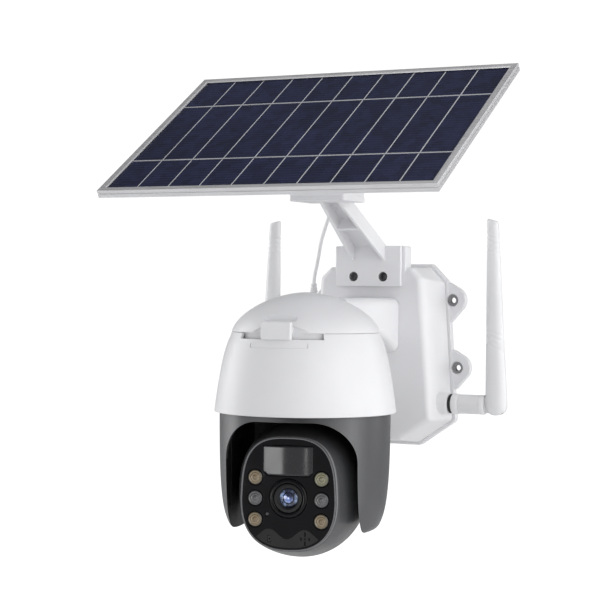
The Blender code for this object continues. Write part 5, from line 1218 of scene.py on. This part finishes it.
def speaker_holes():
    """Upright slots in the middle and short ones left and right."""
    x, z = SPEAKER
    holes = [rounded_hole((x, z + 2.9), 0.55, 1.5, 0.5), rounded_hole((x, z - 2.9), 0.55, 1.5, 0.5),
             disc((x, z), 0.6, 16)]
    holes += [rounded_hole((x + side * 2.7, z), 0.6, 1.0, 0.5) for side in (-1, 1)]
    return holes


def make_pir():
    rings = []
    count = 36
    high = PIR_HEIGHTS[1]
    for i in range(count + 1):
        x = PIR_HALF * math.sin(math.radians(-90 + 180 * i / count))
        front = PIR_BULGE * (1 - (x / PIR_HALF) ** 2)
        end = min(1.0, (PIR_HALF - abs(x)) / 1.2)
        soft = 0.7 * end + 0.05
        top = high - 1.2 * (1 - math.sqrt(max(0.0, 1 - (1 - end) ** 2)))
        low = pir_low(x)
        flat = soft + PIR_MARGIN
        part = 0.3 * soft
        rings.append([(x, low, -2.2), (x, top, -2.2), (x, top, front - soft), (x, top - part, front - part),
                      (x, top - soft, front), (x, top - flat, front), (x, low + flat, front),
                      (x, low + soft, front), (x, low + part, front - part), (x, low, front - soft)])
    window = skin("motion_window", rings, SMOKED, FACE)
    belongs(window, HEAD, "black_gloss", "pir_window", flat=False)


def make_lens():
    at = FACE @ Matrix.Translation((0, LENS_HEIGHT * MM, 0))
    bezel = [(9.6, 0.2), (9.8, 0.55), (10.3, 0.75), (11.5, 0.7), (12.1, 0.4), (12.4, -0.2), (12.4, -2.5),
             (9.6, -2.5)]
    ring = lathe("lens_bezel", bezel, GLOSS_BLACK, at, 96, closed=True)
    belongs(ring, HEAD, "black_gloss", "lens_ring", flat=False)
    barrel = [(7.1, 0.9), (8.7, 0.9), (9.1, 0.6), (9.2, 0.2), (9.2, -8.0), (0, -8.0), (0, -6.0), (6.3, -6.0),
              (6.3, -1.8), (6.6, -1.6), (6.6, -0.8), (6.9, -0.6), (6.9, 0.3)]
    tube = lathe("lens_barrel", barrel, MATT_BLACK, at, 96, closed=True)
    belongs(tube, HEAD, "black_plastic", "lens_module", flat=False)
    turns = [math.radians(a) for a in range(0, 91, 6)]
    glass = [(GLASS_RADIUS * math.sin(a), GLASS_EDGE + GLASS_CROWN * math.cos(a)) for a in turns]
    glass += [(GLASS_RADIUS, GLASS_EDGE - 1), (0, GLASS_EDGE - 1)]
    element = lathe("front_element", glass, LENS, at, 72)
    belongs(element, HEAD, "lens_glass", "lens_glass", flat=False)
    iris = [(3.3, -0.72), (3.75, -0.92), (3.75, -1.6), (3.3, -1.6)]
    belongs(lathe("element_ring", iris, GLOSS_BLACK, at, 64, closed=True), HEAD, "black_gloss", flat=False)


def make_leds():
    looks = (AMBER, CLEAR, AMBER, OLIVE, CLEAR, AMBER)
    number = 0
    for x in (-LED_COLUMN, LED_COLUMN):
        for z in LED_ROWS:
            number += 1
            at = FACE @ Matrix.Translation((x * MM, z * MM, 0))
            bezel = [(4.84, 0.1), (4.88, 0.35), (4.97, 0.45), (5.08, 0.25), (5.1, -0.3), (5.1, -3.0),
                     (4.84, -3.0)]
            ring = lathe("led_bezel_%d" % number, bezel, GLOSS_BLACK, at, 48, closed=True)
            belongs(ring, HEAD, "black_gloss", flat=False)
            lens = [(0, 0.85), (0.7, 0.78), (1.3, 0.5), (1.6, 0.15), (1.85, 0.1), (2.15, 0.42), (2.6, 0.45),
                    (3.1, 0.12), (3.4, 0.05), (3.9, 0.36), (4.4, 0.26), (4.8, -0.1), (4.8, -2.6), (0, -2.6)]
            slot = "led_clear" if looks[number - 1] is CLEAR else "led_amber"
            belongs(lathe("led_dome_%d" % number, lens, looks[number - 1], at, 48), HEAD, slot,
                    "led_lens_%d" % number, flat=False)


# --- stage, light and camera -----------------------------------------------------------------------
def area_light(name, place, target, size, power, colour=(1.0, 1.0, 1.0)):
    data = bpy.data.lights.new(name, "AREA")
    data.shape = "RECTANGLE"
    data.size, data.size_y = size
    data.energy = power
    data.color = colour
    obj = bpy.data.objects.new(name, data)
    bpy.context.scene.collection.objects.link(obj)
    obj.location = place
    obj.visible_camera = False
    obj.rotation_euler = (Vector(target) - Vector(place)).to_track_quat("-Z", "Y").to_euler()


AMBIENT = 0.51                      # light of the room
REFLECTED = 0.2                     # the room as glossy surfaces mirror it
BACKDROP = 1.05                     # the room as the camera sees it
FLOOR_HEIGHT = -0.45
FLOOR_GLOW = 0.75
# name, place, aim, width and height in metres, power in watts
LIGHTS = (
    ("right", (1.6, -0.3, 0.25), (0, -0.1, 0), (1.2, 1.6), 11.6),
    ("right_front", (1.2, -1.3, 0.4), (0, -0.1, 0), (0.9, 1.2), 5.0),
    ("right_back", (1.2, 0.9, 0.4), (0, -0.1, 0), (0.9, 1.2), 4.0),
    ("left", (-1.5, -0.2, 0.25), (0, -0.1, 0), (0.9, 1.6), 12.0),
    ("top", (0.0, -0.1, 1.7), (0, -0.1, 0), (1.4, 1.4), 3.4),
    ("window_glow", (-0.56, -2.05, -0.26), (0, -0.19, -0.06), (0.62, 0.26), 1.9),
    ("window_line", (0.49, -2.08, -0.26), (0, -0.19, -0.06), (0.035, 0.26), 0.15),
)


def only_for_camera(tree, seen, otherwise):
    """Shader that the camera sees one way and that lights the object another way."""
    path = tree.nodes.new("ShaderNodeLightPath")
    chooser = tree.nodes.new("ShaderNodeMixShader")
    tree.links.new(path.outputs["Is Camera Ray"], chooser.inputs["Fac"])
    tree.links.new(otherwise, chooser.inputs[1])
    tree.links.new(seen, chooser.inputs[2])
    return chooser.outputs["Shader"]


def make_stage():
    bm = bmesh.new()
    bmesh.ops.create_grid(bm, x_segments=1, y_segments=1, size=40.0 / MM)
    look = Look("floor", (0.8, 0.8, 0.8), 0.8)
    look.colour(look.ramp(look.noise(3.0), (0.3, (0.79, 0.79, 0.79)), (0.7, (0.81, 0.81, 0.81))))
    glow = look.tree.nodes.new("ShaderNodeEmission")
    glow.inputs["Strength"].default_value = FLOOR_GLOW
    bright = look.tree.nodes.new("ShaderNodeAddShader")
    look.link(glow.outputs["Emission"], bright.inputs[0])
    look.link(look.shader.outputs["BSDF"], bright.inputs[1])
    surface = only_for_camera(look.tree, bright.outputs["Shader"], look.shader.outputs["BSDF"])
    look.link(surface, look.tree.nodes["Material Output"].inputs["Surface"])
    made("floor", bm, look.material, Matrix.Translation((0, 0, FLOOR_HEIGHT)))
    world = bpy.data.worlds.new("studio")
    bpy.context.scene.world = world
    world.use_nodes = True
    tree = world.node_tree
    background = tree.nodes["Background"]
    background.inputs["Color"].default_value = (1.0, 1.0, 1.0, 1.0)
    background.inputs["Strength"].default_value = BACKDROP
    ambient = tree.nodes.new("ShaderNodeBackground")
    ambient.inputs["Color"].default_value = (0.98, 0.985, 1.0, 1.0)
    ambient.inputs["Strength"].default_value = AMBIENT
    dim = tree.nodes.new("ShaderNodeBackground")
    dim.inputs["Strength"].default_value = REFLECTED
    path = tree.nodes.new("ShaderNodeLightPath")
    room = tree.nodes.new("ShaderNodeMixShader")
    tree.links.new(path.outputs["Is Glossy Ray"], room.inputs["Fac"])
    tree.links.new(ambient.outputs["Background"], room.inputs[1])
    tree.links.new(dim.outputs["Background"], room.inputs[2])
    seen = only_for_camera(tree, background.outputs["Background"], room.outputs["Shader"])
    tree.links.new(seen, tree.nodes["World Output"].inputs["Surface"])
    for name, place, aim, size, power in LIGHTS:
        area_light(name, place, aim, size, power)


CAMERA_PLACE = (0.5103, -1.1704, 0.0483)
CAMERA_RIGHT = Vector((0.8942, 0.4477, 0.0083))
CAMERA_AHEAD = Vector((-0.4476, 0.8942, -0.0068))
FOCAL_LENGTH = 104.5


def make_camera():
    data = bpy.data.cameras.new("camera")
    data.sensor_width = 36.0
    data.lens = FOCAL_LENGTH
    data.clip_start, data.clip_end = 0.05, 100.0
    camera = bpy.data.objects.new("camera", data)
    bpy.context.scene.collection.objects.link(camera)
    up = CAMERA_RIGHT.cross(CAMERA_AHEAD)
    turn = Matrix((CAMERA_RIGHT, up, -CAMERA_AHEAD)).transposed().to_4x4()
    camera.matrix_world = Matrix.Translation(CAMERA_PLACE) @ turn
    bpy.context.scene.camera = camera


make_camera()
make_cable()
make_panel()
make_junction_box()
make_bracket()
make_cover()
make_rear_shell()
for antenna_side, antenna_label in ((-1, "left"), (1, "right")):
    make_antenna(antenna_side, antenna_label)
make_cap()
make_hood()
make_yoke()
make_head_shell()
make_face()
make_pir()
make_lens()
make_leds()
make_stage()
bpy.context.scene.view_settings.view_transform = "Standard"
